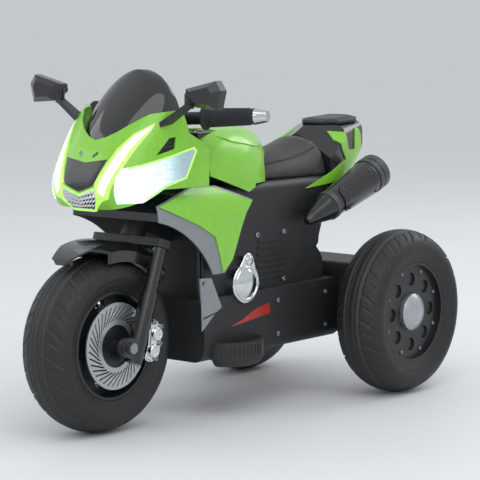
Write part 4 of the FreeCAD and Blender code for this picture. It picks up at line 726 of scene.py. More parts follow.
@cache
def scatter_tree() -> NodeTree:
    """Copies a shape to each point, facing and lying as the point's attributes say.

    Returns:
        The tree, made once.
    """
    sockets = {"Geometry": "NodeSocketGeometry", "Shape": "NodeSocketObject", "Scale": "NodeSocketFloat"}
    tree, start = new_tree("copies_on_points", sockets | {"Material": "NodeSocketMaterial"})
    model = add(tree, "GeometryNodeObjectInfo", {"Object": start.outputs["Shape"]}).outputs["Geometry"]
    read = [
        add(tree, "GeometryNodeInputNamedAttribute", {"Name": label}, data_type="FLOAT_VECTOR").outputs[0]
        for label in ("facing", "lying", "stretch")
    ]
    faced = add(tree, "FunctionNodeAlignRotationToVector", {"Vector": read[0]}, axis="Z").outputs[0]
    laid = {"Rotation": faced, "Vector": read[1]}
    turn = add(tree, "FunctionNodeAlignRotationToVector", laid, axis="X", pivot_axis="Z").outputs[0]
    grown = add(tree, "ShaderNodeVectorMath", {0: read[2], 3: start.outputs["Scale"]}, operation="SCALE").outputs[0]
    copies = {"Points": start.outputs["Geometry"], "Instance": model, "Rotation": turn, "Scale": grown}
    return end_tree(tree, start, add(tree, "GeometryNodeInstanceOnPoints", copies).outputs[0])


@cache
def stitch_tree() -> NodeTree:
    """Lays copies of a stitch along a path at an even pitch.

    Returns:
        The tree, made once.
    """
    sockets = {"Geometry": "NodeSocketGeometry", "Shape": "NodeSocketObject", "Pitch": "NodeSocketFloat"}
    tree, start = new_tree("stitches_on_path", sockets | {"Material": "NodeSocketMaterial"})
    path = add(tree, "GeometryNodeMeshToCurve", {0: start.outputs["Geometry"]}).outputs[0]
    even = add(tree, "GeometryNodeResampleCurve", {"Curve": path, "Length": start.outputs["Pitch"]}, mode="LENGTH")
    facing = add(tree, "GeometryNodeInputNamedAttribute", {"Name": "facing"}, data_type="FLOAT_VECTOR").outputs[0]
    way = add(tree, "GeometryNodeInputTangent").outputs[0]
    faced = add(tree, "FunctionNodeAlignRotationToVector", {"Vector": facing}, axis="Z").outputs[0]
    laid = {"Rotation": faced, "Vector": way}
    turn = add(tree, "FunctionNodeAlignRotationToVector", laid, axis="X", pivot_axis="Z")
    model = add(tree, "GeometryNodeObjectInfo", {"Object": start.outputs["Shape"]}).outputs["Geometry"]
    copies = {"Points": even.outputs[0], "Instance": model, "Rotation": turn.outputs[0]}
    return end_tree(tree, start, add(tree, "GeometryNodeInstanceOnPoints", copies).outputs[0])


@cache
def piping_tree() -> NodeTree:
    """Draws a round piping along a path.

    Returns:
        The tree, made once.
    """
    sockets = {"Geometry": "NodeSocketGeometry", "Radius": "NodeSocketFloat"}
    tree, start = new_tree("piping_on_path", sockets | {"Material": "NodeSocketMaterial"})
    path = add(tree, "GeometryNodeMeshToCurve", {0: start.outputs["Geometry"]}).outputs[0]
    circle = {"Resolution": 10, "Radius": start.outputs["Radius"]}
    ring = add(tree, "GeometryNodeCurvePrimitiveCircle", circle).outputs[0]
    tube = add(tree, "GeometryNodeCurveToMesh", {"Curve": path, "Profile Curve": ring, "Fill Caps": True})
    return end_tree(tree, start, add(tree, "GeometryNodeSetShadeSmooth", {0: tube.outputs[0]}).outputs[0])


def grow(name: str, tree: NodeTree, source: Mesh, values: dict[str, Any]) -> Object:
    """Runs a Geometry Nodes tree once and keeps its result as a plain mesh.

    Args:
        name: the piece's name.
        tree: the tree.
        source: the mesh that goes in.
        values: the tree's inputs by their names.

    Returns:
        The object.
    """
    obj = new_object(name, source)
    nodes = obj.modifiers.new(tree.name, "NODES")
    nodes.node_group = tree
    for item in tree.interface.items_tree:
        if item.item_type == "SOCKET" and item.in_out == "INPUT" and item.name in values:
            nodes[item.identifier] = values[item.name]
    return settle(obj)


def marked(name: str, places: Sequence[Vector], linked: bool = False, **marks: Sequence[Vector]) -> Mesh:
    """A mesh of bare points, or of a line through them, with vector attributes.

    Args:
        name: the mesh's name.
        places: the points.
        linked: whether a line joins them.
        marks: a list of vectors for each attribute.

    Returns:
        The mesh.
    """
    mesh = bpy.data.meshes.new(name)
    edges = [(i, i + 1) for i in range(len(places) - 1)] if linked else []
    mesh.from_pydata([tuple(p) for p in places], edges, [])
    for label, vectors in marks.items():
        layer = mesh.attributes.new(label, "FLOAT_VECTOR", "POINT")
        layer.data.foreach_set("vector", [v for vector in vectors for v in vector])
    return mesh


@dataclass
class Spots:
    """Places for copies of one small shape: where, facing which way, lying which way and how far stretched."""

    places: list[Vector] = field(default_factory=list)
    facing: list[Vector] = field(default_factory=list)
    lying: list[Vector] = field(default_factory=list)
    stretch: list[Vector] = field(default_factory=list)

    def add(self, place: Vector, facing: Vector, lying: Vector, stretch: Triple = (1, 1, 1)) -> None:
        """Adds one place."""
        self.places.append(place)
        self.facing.append(facing)
        self.lying.append(lying)
        self.stretch.append(Vector(stretch))

    def add_sides(self, x: float, places: Iterable[Pair]) -> None:
        """Adds places as far out on the left as on the right, facing outwards."""
        for side in SIDES:
            for y, z in places:
                self.add(point(side * x, y, z), Vector((side, 0, 0)), UP)

    def grow(self, name: str, model: Object, finish: Finish) -> Object:
        """Copies a shape to every place and removes the shape.

        Args:
            name: the piece's name.
            model: the shape at the origin, its outward side along +Z.
            finish: its surface.

        Returns:
            The object with all the copies.
        """
        mesh = marked(name, self.places, facing=self.facing, lying=self.lying, stretch=self.stretch)
        values = {"Shape": model, "Scale": 1.0, "Material": finish.make()}
        obj = grow(name, scatter_tree(), mesh, values)
        bpy.data.objects.remove(model)
        return obj


def hex_screw(radius: float, height: float, socket: float) -> Object:
    """A small round screw head with a six-sided socket.

    Args:
        radius: the head's radius in millimetres.
        height: its height.
        socket: the socket's half width across flats.

    Returns:
        The shape at the origin, along +Z.
    """
    parts = 18
    rings = [(0.0, radius * 0.98, False), (height * 0.7, radius, False), (height, radius * 0.82, False)]
    rings += [(height, socket, True), (height * 0.35, socket, True), (height * 0.3, 0.0, False)]
    points = []
    for level, size, six in rings:
        for i in range(parts):
            angle = math.tau * i / parts
            reach = size / math.cos((angle + math.pi / 6) % (math.pi / 3) - math.pi / 6) if six else size
            points.append(point(reach * math.cos(angle), reach * math.sin(angle), level))
    return shape("screw_model", points, ring_faces(len(rings), parts), 30.0)


def rounded_bar(length: float, width: float, height: float, bevel: float) -> Object:
    """A low bar with rounded edges, along X and standing up in +Z, its base at the origin.

    Args:
        length: its size along X in millimetres.
        width: its size along Y.
        height: its size along Z.
        bevel: the rounding of its upper edges.

    Returns:
        The shape.
    """
    build = bmesh.new()
    bmesh.ops.create_cube(build, size=1.0)
    for vert in build.verts:
        vert.co = point(vert.co.x * length, vert.co.y * width, (vert.co.z + 0.5) * height)
    edges = [edge for edge in build.edges if max(v.co.z for v in edge.verts) > height * MM / 2]
    bmesh.ops.bevel(build, geom=edges, offset=bevel * MM, segments=2, affect="EDGES", clamp_overlap=True)
    finish_edges(build, 50.0)
    mesh = bpy.data.meshes.new("bar_model")
    build.to_mesh(mesh)
    build.free()
    return new_object("bar_model", mesh)


class Skin:
    """The surface of some CAD nodes or pieces, for setting other pieces on it."""

    def __init__(self, *objects: Object) -> None:
        """Gathers the objects' triangles."""
        points: list[Vector] = []
        faces: list[tuple[int, ...]] = []
        for obj in objects:
            start = len(points)
            points += [v.co.copy() for v in obj.data.vertices]
            faces += [tuple(start + i for i in polygon.vertices) for polygon in obj.data.polygons]
        self.tree = BVHTree.FromPolygons(points, faces)

    def hit(self, start: Vector, way: Vector) -> tuple[Vector, Vector] | None:
        """Where a line first meets the surface.

        Args:
            start: a place outside, in metres.
            way: the line's direction.

        Returns:
            The place and the surface's direction there, or None.
        """
        place, normal, _, _ = self.tree.ray_cast(start, way)
        return None if place is None else (place, normal)

    def patch(
        self,
        name: str,
        grid: Sequence[Sequence[Vector]],
        way: Vector,
        lift: Callable[[float, float], float],
        root: float,
    ) -> Object:
        """A closed patch that lies on the surface.

        Args:
            name: the piece's name.
            grid: rows of places that are thrown onto the surface.
            way: the direction of the throw.
            lift: the patch's height in millimetres at parts of the grid's two sides, 0 to 1.
            root: how deep its underside lies, in millimetres.

        Returns:
            The object.
        """
        rows, columns = len(grid), len(grid[0])
        top, low = [], []
        for i, row in enumerate(grid):
            for j, start in enumerate(row):
                found = self.hit(start, way)
                if not found:
                    log.warning("%s misses the surface at row %d, column %d", name, i, j)
                place = found[0] if found else start
                top.append(place - way * lift(i / (rows - 1), j / (columns - 1)) * MM)
                low.append(place + way * root * MM)
        count = rows * columns
        faces: list[tuple[int, ...]] = []
        for quad in grid_faces(rows, columns):
            faces += [quad, tuple(v + count for v in reversed(quad))]
        rim = list(range(columns)) + [i * columns + columns - 1 for i in range(1, rows)]
        rim += [count - 1 - j for j in range(1, columns)] + [i * columns for i in range(rows - 2, 0, -1)]
        faces += [(a, b, b + count, a + count) for a, b in zip(rim, rim[1:] + rim[:1])]
        return shape(name, top + low, faces, 40.0)


@dataclass
class Studio:
    """A pale floor, soft lamps and the camera at the photograph's angle.

    Each lamp has a name, a place, a side in metres and a power in watts.
    """

    camera_place: Triple = (2387.0, -2859.0, 745.0)
    camera_target: Triple = (0.0, 71.3, 290.1)
    lens: float = 157.3
    sensor: float = 36.0
    floor_radius: float = 250000.0
    floor_colour: str = "#e6e8e9"
    floor_shade: str = "#e0e3e4"
    sky_colour: str = "#e9ebec"
    light_colour: str = "#eef1f4"
    light: float = 0.8
    lamps: tuple[tuple[str, Triple, float, float], ...] = (
        ("key_lamp", (1900.0, -1500.0, 2700.0), 3.6, 50.0),
        ("fill_lamp", (-2600.0, -1500.0, 1600.0), 2.2, 18.0),
        ("back_lamp", (600.0, 2900.0, 2400.0), 2.0, 30.0),
    )

    def build(self) -> None:
        """Makes the floor, the world, the lamps and the camera."""
        bpy.context.scene.view_settings.view_transform = "Standard"
        self.make_floor()
        self.make_world()
        for name, place, side, power in self.lamps:
            lamp = bpy.data.lights.new(name, "AREA")
            lamp.shape, lamp.size, lamp.energy = "SQUARE", side, power
            self.aim(bpy.data.objects.new(name, lamp), place, self.camera_target)
        view = bpy.data.cameras.new("photo_camera")
        view.lens, view.sensor_width = self.lens, self.sensor
        view.clip_start, view.clip_end = 0.1, 500.0
        camera = bpy.data.objects.new("photo_camera", view)
        self.aim(camera, self.camera_place, self.camera_target)
        bpy.context.scene.camera = camera

    def aim(self, obj: Object, place: Triple, target: Triple) -> None:
        """Puts a lamp or camera somewhere and turns it to a target."""
        obj.location = point(*place)
        obj.rotation_mode = "QUATERNION"
        obj.rotation_quaternion = (point(*target) - point(*place)).to_track_quat("-Z", "Y")
        bpy.context.scene.collection.objects.link(obj)

    def make_floor(self) -> None:
        """Makes the round floor, whose colour varies a little."""
        floor = lathe("studio_floor", [(0.0, 0.0), (0.0, self.floor_radius)], Vector(), UP, 64)
        with edited(floor.data) as build:
            for face in build.faces:
                if face.normal.z < 0:
                    face.normal_flip()
        material = new_material("studio_floor")
        tree = material.node_tree
        place = add(tree, "ShaderNodeTexCoord").outputs["Object"]
        cloud = noise(tree, place, 1.5, 2.0).outputs[0]
        colour = mixed(tree, cloud, linear(self.floor_colour), linear(self.floor_shade))
        values = {"Base Color": colour, "Roughness": 0.5, "Specular IOR Level": 0.2}
        shader = add(tree, "ShaderNodeBsdfPrincipled", values)
        add(tree, "ShaderNodeOutputMaterial", {"Surface": shader.outputs[0]})
        floor.data.materials.append(material)

    def make_world(self) -> None:
        """Makes the soft surrounding light, and the pale backdrop that the camera and clear pieces see."""
        world = bpy.data.worlds.new("studio_world")
        bpy.context.scene.world = world
        world.use_nodes = True
        tree = world.node_tree
        tree.nodes.clear()
        ray = add(tree, "ShaderNodeLightPath")
        rays = {0: ray.outputs["Is Camera Ray"], 1: ray.outputs["Is Transmission Ray"]}
        seen = add(tree, "ShaderNodeMath", rays, operation="MAXIMUM")
        light = add(tree, "ShaderNodeBackground", {"Color": linear(self.light_colour), "Strength": self.light})
        backdrop = add(tree, "ShaderNodeBackground", {"Color": linear(self.sky_colour), "Strength": 1.0})
        both = add(tree, "ShaderNodeMixShader", {0: seen.outputs[0], 1: light.outputs[0], 2: backdrop.outputs[0]})
        add(tree, "ShaderNodeOutputWorld", {"Surface": both.outputs[0]})


@dataclass
class RoadWheel:
    """A wheel's tyre with its moulded tread, and the screws on its rim.

    A ring groove has its place across the tread, half width and depth. A slanting cut has its lead as a part of the
    pitch, start and end across the tread, half width and depth. A ridge has its place and half width. The section
    runs from bead to tread for a tyre of section_size: width, bead radius and height. A screw has its head's radius
    and height and its socket's half width.
    """

    body: str
    tyre: str
    centre: Triple
    radius: float
    width: float
    screw_face: float
    screw_sides: tuple[int, ...]
    screw_circle: float
    screw_count: int
    screw: Triple = (3.6, 2.4, 1.7)
    pitches: int = 20
    steps: int = 28
    bead_radius: float = 92.0
    rings: tuple[Triple, ...] = ((6.0, 1.2, 1.8), (15.0, 2.0, 3.2))
    cuts: tuple[tuple[float, float, float, float, float], ...] = (
        (0.0, 18.0, 54.0, 2.6, 3.2),
        (0.5, 24.0, 45.0, 1.9, 2.6),
    )
    slope: float = 0.35
    curl: float = 0.012
    soft: float = 0.7
    ridge_height: float = 0.8
    ridges: tuple[Pair, ...] = ((61.0, 1.4), (67.0, 1.0), (79.0, 1.4))
    section_size: Triple = (98.0, 92.0, 58.0)
    section: tuple[Pair, ...] = (
        (38.0, 92.2), (41.6, 99.0), (45.2, 106.5), (48.2, 113.5), (49.2, 119.0), (48.0, 126.0), (44.6, 132.8),
        (39.4, 138.2), (30.0, 143.4), (20.0, 147.1), (10.0, 149.3), (0.0, 150.0),
    )
    section_steps: tuple[int, ...] = (3, 3, 3, 3, 4, 4, 5, 6, 6, 6, 6)

    def half_section(self) -> list[tuple[float, float]]:
        """The tyre's section from the bead to the middle of the tread, scaled to this wheel."""
        width, bead, height = self.section_size
        wide, high = self.width / width, (self.radius - self.bead_radius) / height
        points = [(x * wide, self.bead_radius + (r - bead) * high) for x, r in self.section]
        return [(x, r) for x, r in curve_through(points, self.section_steps)]

    def depth(self, along: float, across: float) -> float:
        """How deep the tread pattern is.

        Args:
            along: the place round the tread from a slice's start, in millimetres.
            across: the place across it from the middle, along the section.

        Returns:
            The depth in millimetres; ridges on the side are negative.
        """
        side, pitch = abs(across), math.tau * self.radius / self.pitches
        soft, deep = self.soft, 0.0
        for offset, half, full in self.rings:
            deep = max(deep, full * smooth(-soft, soft, half - abs(side - offset)))
        for lead, start, end, half, full in self.cuts:
            run = side - start
            middle = lead * pitch + self.slope * run + self.curl * run * run + (pitch / 2 if across < 0 else 0.0)
            gap = abs((along - middle + pitch / 2) % pitch - pitch / 2)
            wide = half * (0.55 + 0.45 * smooth(0, end - start, run))
            ends = smooth(-soft, soft, run) * smooth(0, 6, end - side)
            deep = max(deep, full * smooth(-soft, soft, wide - gap) * ends)
        for offset, half in self.ridges:
            deep -= self.ridge_height * smooth(-soft, soft, half - abs(side - offset))
        return deep

    def slice_mesh(self) -> Mesh:
        """One pitch of the tyre about the X axis, with the depth of its tread as an attribute.

        Returns:
            The mesh.
        """
        half = self.half_section()
        section = half[:-1] + [(-x, r) for x, r in reversed(half)]
        lengths = [0.0]
        for (x0, r0), (x1, r1) in zip(section, section[1:]):
            lengths.append(lengths[-1] + math.hypot(x1 - x0, r1 - r0))
        middle = lengths[-1] / 2
        angle_step = math.tau / self.pitches / self.steps
        last = len(section) - 1
        points, depths, faces = [], [], []
        for i in range(self.steps + 1):
            angle = angle_step * i
            for j, (x, r) in enumerate(section):
                x0, r0 = section[max(j - 1, 0)]
                x1, r1 = section[min(j + 1, last)]
                reach = math.hypot(x1 - x0, r1 - r0)
                out_x, out_r = -(r0 - r1) / reach, (x0 - x1) / reach
                across = middle - lengths[j]
                deep = self.depth(angle * self.radius, across) if 0 < j < last else 0.0
                radius = r - deep * out_r
                points.append(point(x - deep * out_x, radius * math.cos(angle), radius * math.sin(angle)))
                depths.append(max(deep, 0.0))
        columns = last + 1
        for i in range(self.steps):
            for j in range(columns):
                k = (j + 1) % columns
                faces.append((i * columns + j, (i + 1) * columns + j, (i + 1) * columns + k, i * columns + k))
        mesh = bpy.data.meshes.new(self.tyre + "_slice")
        mesh.from_pydata([tuple(p) for p in points], [], faces)
        mesh.attributes.new("groove", "FLOAT", "POINT").data.foreach_set("value", depths)
        mesh.polygons.foreach_set("use_smooth", [True] * len(mesh.polygons))
        return mesh

    def build(self) -> None:
        """Makes the tyre and the rim's screws and puts them on the wheel."""
        values = {"Count": self.pitches, "Centre": point(*self.centre), "Material": TYRE.make()}
        tyre = grow(self.tyre + "_tread", ring_tree(), self.slice_mesh(), values)
        with edited(tyre.data) as build:
            bmesh.ops.recalc_face_normals(build, faces=build.faces)
        put_on(tyre, self.body, "tyre_black", TYRE, self.tyre)
        spots = Spots()
        for side in self.screw_sides:
            for i in range(self.screw_count):
                angle = math.tau * (i + 0.5) / self.screw_count
                out = Vector((0, math.cos(angle), math.sin(angle)))
                face = point(*self.centre) + Vector((side * self.screw_face * MM, 0, 0))
                spots.add(face + out * self.screw_circle * MM, Vector((side, 0, 0)), out)
        screws = spots.grow(self.tyre.replace("tyre", "rim") + "_screws", hex_screw(*self.screw), STEEL)
        put_on(screws, self.body, "steel", STEEL)


@dataclass
class FrontBrake:
    """The plated brake calipers on the fork's feet.

    Outlines, pistons and bolts are given from the axle, backwards and upwards along the raked fork.
    """

    axle: Triple = (0.0, -308.0, 150.0)
    rake: float = 20.0
    near: float = 46.5
    far: float = 74.0
    outline: tuple[Pair, ...] = (
        (44.0, -10.0), (60.0, -12.0), (72.0, -4.0), (75.0, 18.0), (72.0, 42.0), (60.0, 58.0), (42.0, 60.0),
        (34.0, 50.0), (42.0, 34.0), (46.0, 12.0),
    )
    inner: tuple[Pair, ...] = (
        (47.0, -2.0), (66.0, -2.0), (70.0, 18.0), (64.0, 40.0), (46.0, 46.0), (50.0, 20.0),
    )
    inner_faces: Pair = (33.0, 38.8)
    bridge: tuple[Pair, ...] = ((75.4, 10.0), (79.0, 10.0), (79.0, 26.0), (75.4, 26.0))
    bridge_faces: Pair = (34.0, 70.0)
    pistons: tuple[Pair, ...] = ((58.0, 8.0), (56.0, 37.0))
    piston_radius: float = 11.5
    bolt: Triple = (4.2, 4.0, 2.0)
    bolts: tuple[Pair, ...] = ((67.0, -3.0), (69.0, 24.0), (62.0, 52.0), (43.0, 54.0))

    def raked(self, y: float, z: float) -> Pair:
        """Turns a place in the fork's own directions, from the axle, to the part's (y, z)."""
        angle = math.radians(self.rake)
        along_y = y * math.cos(angle) + z * math.sin(angle)
        along_z = z * math.cos(angle) - y * math.sin(angle)
        return along_y + self.axle[1], along_z + self.axle[2]

    def build(self) -> None:
        """Makes both calipers with their pistons, bridges and bolts."""
        line = [self.raked(y, z) for y, z in self.outline]
        parts = [plate("caliper_outer", line, self.near, self.far, 3.0)]
        inner = [self.raked(y, z) for y, z in self.inner]
        parts.append(plate("caliper_inner", inner, *self.inner_faces, 1.2))
        bridge = [self.raked(y, z) for y, z in self.bridge]
        parts.append(plate("caliper_bridge", bridge, *self.bridge_faces, 1.0))
        wide = self.piston_radius
        profile = [(-2.0, 0.0), (-2.0, wide), (4.0, wide), (5.4, wide - 1.4)]
        profile += [(5.4, wide - 4.0), (3.2, wide - 5.0), (3.2, 0.0)]
        for y, z in self.pistons:
            place = point(self.far, *self.raked(y, z))
            parts.append(lathe("caliper_piston", profile, place, OUT, 40))
        casting = with_other_side(joined("caliper_castings", *parts))
        put_on(casting, "steering", "chrome", CHROME, "brake_calipers")
        spots = Spots()
        spots.add_sides(self.far, [self.raked(y, z) for y, z in self.bolts])
        put_on(spots.grow("caliper_bolts", hex_screw(*self.bolt), STEEL), "steering", "steel", STEEL)


@dataclass
class HeadLamps:
    """What the head fairing carries over its CAD panels: strip cores, lens rims, insert, reflector and grilles.

    The rim and the vent are given as parts of the head's length and height, the rest as parts of its half width and
    height.
    """

    half: float = 113.0
    low: float = 380.0
    height: float = 172.0
    nose: float = -352.0
    length: float = 202.0
    ahead: float = -500.0
    aside: float = 400.0
    strip_inner: tuple[Pair, ...] = (
        (0.36, 0.21), (0.39, 0.3), (0.45, 0.42), (0.53, 0.58), (0.63, 0.705), (0.775, 0.8),
    )
    strip_outer: tuple[Pair, ...] = (
        (0.48, 0.13), (0.56, 0.26), (0.625, 0.42), (0.68, 0.57), (0.735, 0.69), (0.785, 0.795),
    )
    core_shares: tuple[float, ...] = (0.13, 0.28, 0.5, 0.72, 0.87)
    insert_edge: tuple[Pair, ...] = (
        (0.02, 0.177), (0.12, 0.2), (0.235, 0.229), (0.295, 0.262), (0.345, 0.37), (0.4, 0.49),
    )
    insert_dip: float = 0.04
    rim: tuple[Pair, ...] = (
        (0.12, 0.398), (0.5, 0.492), (0.803, 0.573), (0.832, 0.541), (0.712, 0.288), (0.497, 0.229),
        (0.275, 0.092),
    )
    rim_radius: float = 1.7
    rim_steps: int = 8
    facet_half: Pair = (0.215, 0.11)
    facet_flare: float = 0.55
    facet_span: Triple = (0.004, 0.13, 0.22)
    facet_rows: int = 8
    facet_columns: int = 18
    facet_height: Pair = (0.4, 3.4)
    vent: tuple[Pair, ...] = ((0.38, 0.5), (0.63, 0.56), (0.655, 0.705), (0.53, 0.705))
    vent_depth: float = 3.4
    vent_rows: int = 13
    vent_thick: float = 2.0
    vent_fold: float = 1.2

    def front(self, u: float, v: float) -> Vector:
        """A place ahead of the head, from parts of its half width and height."""
        return point(self.half * u, self.ahead, self.low + self.height * v)

    def flank(self, u: float, v: float) -> Vector:
        """A place to the left of the head, from parts of its length and height."""
        return point(self.aside, self.nose + self.length * u, self.low + self.height * v)

    def build(self) -> None:
        """Makes all the lamp pieces."""
        self.build_cores()
        self.build_rims()
        self.build_insert()
        self.build_reflector()
        self.build_grilles()

    def core_lift(self, along: float, across: float) -> float:
        """The height of a strip's core, rounded across and thinner at its ends."""
        ends = math.sin(math.pi * min(1.0, 0.08 + along * 0.9)) ** 0.5
        return 0.25 + 0.9 * math.sin(math.pi * across) * ends

    def insert_lift(self, along: float, across: float) -> float:
        """The height of the nose insert, softer at its edges."""
        inside = min(along, 1 - along, across, 1 - across)
        return 0.3 + 0.5 * smooth(0.0, 0.08, inside)

    def facet_lift(self, along: float, across: float) -> float:
        """The height of the reflector's pyramids: high at each odd crossing of the grid."""
        low, high = self.facet_height
        odd_row = round(along * self.facet_rows) % 2
        odd_column = round(across * self.facet_columns) % 2
        return high if odd_row and odd_column else low

    def build_cores(self) -> None:
        """Makes the bright middle of each daylight strip."""
        skin = Skin(frame["nodes"]["daylight_strips"])
        inner, outer = curve_through(self.strip_inner, 6), curve_through(self.strip_outer, 6)
        grid = []
        for (u0, v0), (u1, v1) in zip(inner, outer):
            grid.append([self.front(u0 + (u1 - u0) * t, v0 + (v1 - v0) * t) for t in self.core_shares])
        core = skin.patch("daylight_cores", grid, BACK, self.core_lift, 0.6)
        put_on(with_other_side(core), "steering", "lamp_strip", CORE)

    def build_rims(self) -> None:
        """Makes the lit rim round each headlamp lens."""
        skin = Skin(frame["nodes"]["headlamp_lenses"])
        path = []
        for (u0, v0), (u1, v1) in zip(self.rim, self.rim[1:]):
            for i in range(self.rim_steps):
                t = i / self.rim_steps
                u, v = u0 + (u1 - u0) * t, v0 + (v1 - v0) * t
                met = skin.hit(self.flank(u, v), IN)
                if met:
                    path.append(met[0])
        source = marked("lens_rims", path, linked=True)
        values = {"Radius": self.rim_radius * MM, "Material": GUIDE.make()}
        rims = with_other_side(grow("lens_rims", piping_tree(), source, values))
        put_on(rims, "steering", "lamp_strip", GUIDE)

    def build_insert(self) -> None:
        """Makes the dark insert on the nose, between the strips."""
        skin = Skin(frame["nodes"]["nose_panel"])
        edge = curve_through(self.insert_edge, 6)
        grid = []
        for i, (u, v) in enumerate(edge):
            dip = self.insert_dip * smooth(0.4, 1.0, i / (len(edge) - 1))
            grid.append([self.front(u * t / 8, v - dip * (1 - abs(t) / 8)) for t in range(-8, 9)])
        insert = skin.patch("nose_insert", grid, BACK, self.insert_lift, 0.4)
        put_on(insert, "steering", "black_gloss", BLACK)

    def build_reflector(self) -> None:
        """Makes the small pyramids of the centre lamp's plated reflector."""
        skin = Skin(frame["nodes"]["centre_lamp"])
        narrow, gain = self.facet_half
        low, high, slant = self.facet_span
        grid = []
        for i in range(self.facet_rows + 1):
            share = i / self.facet_rows
            wide = narrow + gain * min(1.0, share / self.facet_flare)
            row = []
            for j in range(self.facet_columns + 1):
                u = wide * (2 * j / self.facet_columns - 1)
                row.append(self.front(u, low + share * (high + slant * abs(u))))
            grid.append(row)
        facets = skin.patch("reflector_facets", grid, BACK, self.facet_lift, 0.5)
        facets.data.polygons.foreach_set("use_smooth", [False] * len(facets.data.polygons))
        put_on(facets, "steering", "chrome", CHROME)

    def build_grilles(self) -> None:
        """Makes the dark grilles behind the vents in the head's sides."""
        skin = Skin(frame["nodes"]["head_fairing"])
        found = []
        for u, v in self.vent:
            start = self.flank(u, v)
            met = skin.hit(start, IN)
            found.append((met[0] if met else start) - Vector((self.vent_depth * MM, 0, 0)))
        a, b, c, d = found
        count = self.vent_rows
        points, faces = [], []
        for depth in (0.0, self.vent_thick):
            for i in range(count):
                t = i / (count - 1)
                fold = (self.vent_fold if i % 2 else 0.0) + depth
                for start, end in ((a, d), (b, c)):
                    points.append(start + (end - start) * t - Vector((fold * MM, 0, 0)))
        half = 2 * count
        for i in range(count - 1):
            quad = (2 * i, 2 * i + 1, 2 * i + 3, 2 * i + 2)
            faces += [quad, tuple(v + half for v in reversed(quad))]
            faces += [(2 * i, 2 * i + 2, 2 * i + 2 + half, 2 * i + half)]
            faces += [(2 * i + 1, 2 * i + 3, 2 * i + 3 + half, 2 * i + 1 + half)]
        faces += [(0, 1, 1 + half, half), (half - 2, half - 1, 2 * half - 1, 2 * half - 2)]
        grille = with_other_side(shape("vent_grilles", points, faces, 20.0))
        put_on(grille, "steering", "black_matte", MATTE)


@dataclass
class BarGrips:
    """Ribbed rubber grips on the handlebar."""

    bend: Triple = (56.0, -146.6, 523.3)
    end: Triple = (205.0, -106.6, 531.3)
    tube_end: float = 132.5
    length: float = 96.0
    radii: Pair = (15.6, 13.4)
    flange: Pair = (21.0, 6.0)
    bore: float = 11.0
    ribs: int = 15
    first_rib: float = 11.0
    rib_pitch: float = 5.2
    rib_rise: float = 0.7
    rib_section: tuple[Pair, ...] = ((-1.3, 0.0), (-1.3, 0.97), (-0.6, 1.04), (0.6, 1.04), (1.3, 0.97), (1.3, 0.0))

    def build(self) -> None:
        """Makes the sleeves with their flanges, and the ribs."""
        base, way = point(*self.bend), (point(*self.end) - point(*self.bend)).normalized()
        start = base + way * (self.tube_end - self.length) * MM
        wide, thin = self.radii
        high, thick = self.flange
        profile = [(0.0, self.bore), (0.0, high - 1.5), (1.5, high), (thick - 1.5, high), (thick, high - 1.5)]
        profile += [(thick + 2.0, wide + 0.8), (thick + 6.0, wide), (self.length - 4.0, thin)]
        profile += [(self.length - 2.0, thin + 0.6), (self.length - 0.6, thin + 0.6)]
        profile += [(self.length, thin - 0.4), (self.length, self.bore)]
        sleeve = with_other_side(lathe("grip_sleeves", profile, start, way, 40))
        put_on(sleeve, "steering", "grip_rubber", GRIP, "grips")
        ring = lathe("rib_model", self.rib_section, Vector(), UP, 28)
        for vert in ring.data.vertices:
            vert.co.x, vert.co.y = vert.co.x / MM, vert.co.y / MM
        spots = Spots()
        for side in SIDES:
            for i in range(self.ribs):
                along = self.first_rib + self.rib_pitch * i
                radius = (wide + (thin - wide) * along / self.length + self.rib_rise) * MM
                place = start + way * along * MM
                place.x *= side
                facing = Vector((way.x * side, way.y, way.z))
                spots.add(place, facing, facing.orthogonal(), (radius, radius, 1.0))
        put_on(spots.grow("grip_ribs", ring, GRIP), "steering", "grip_rubber", GRIP)


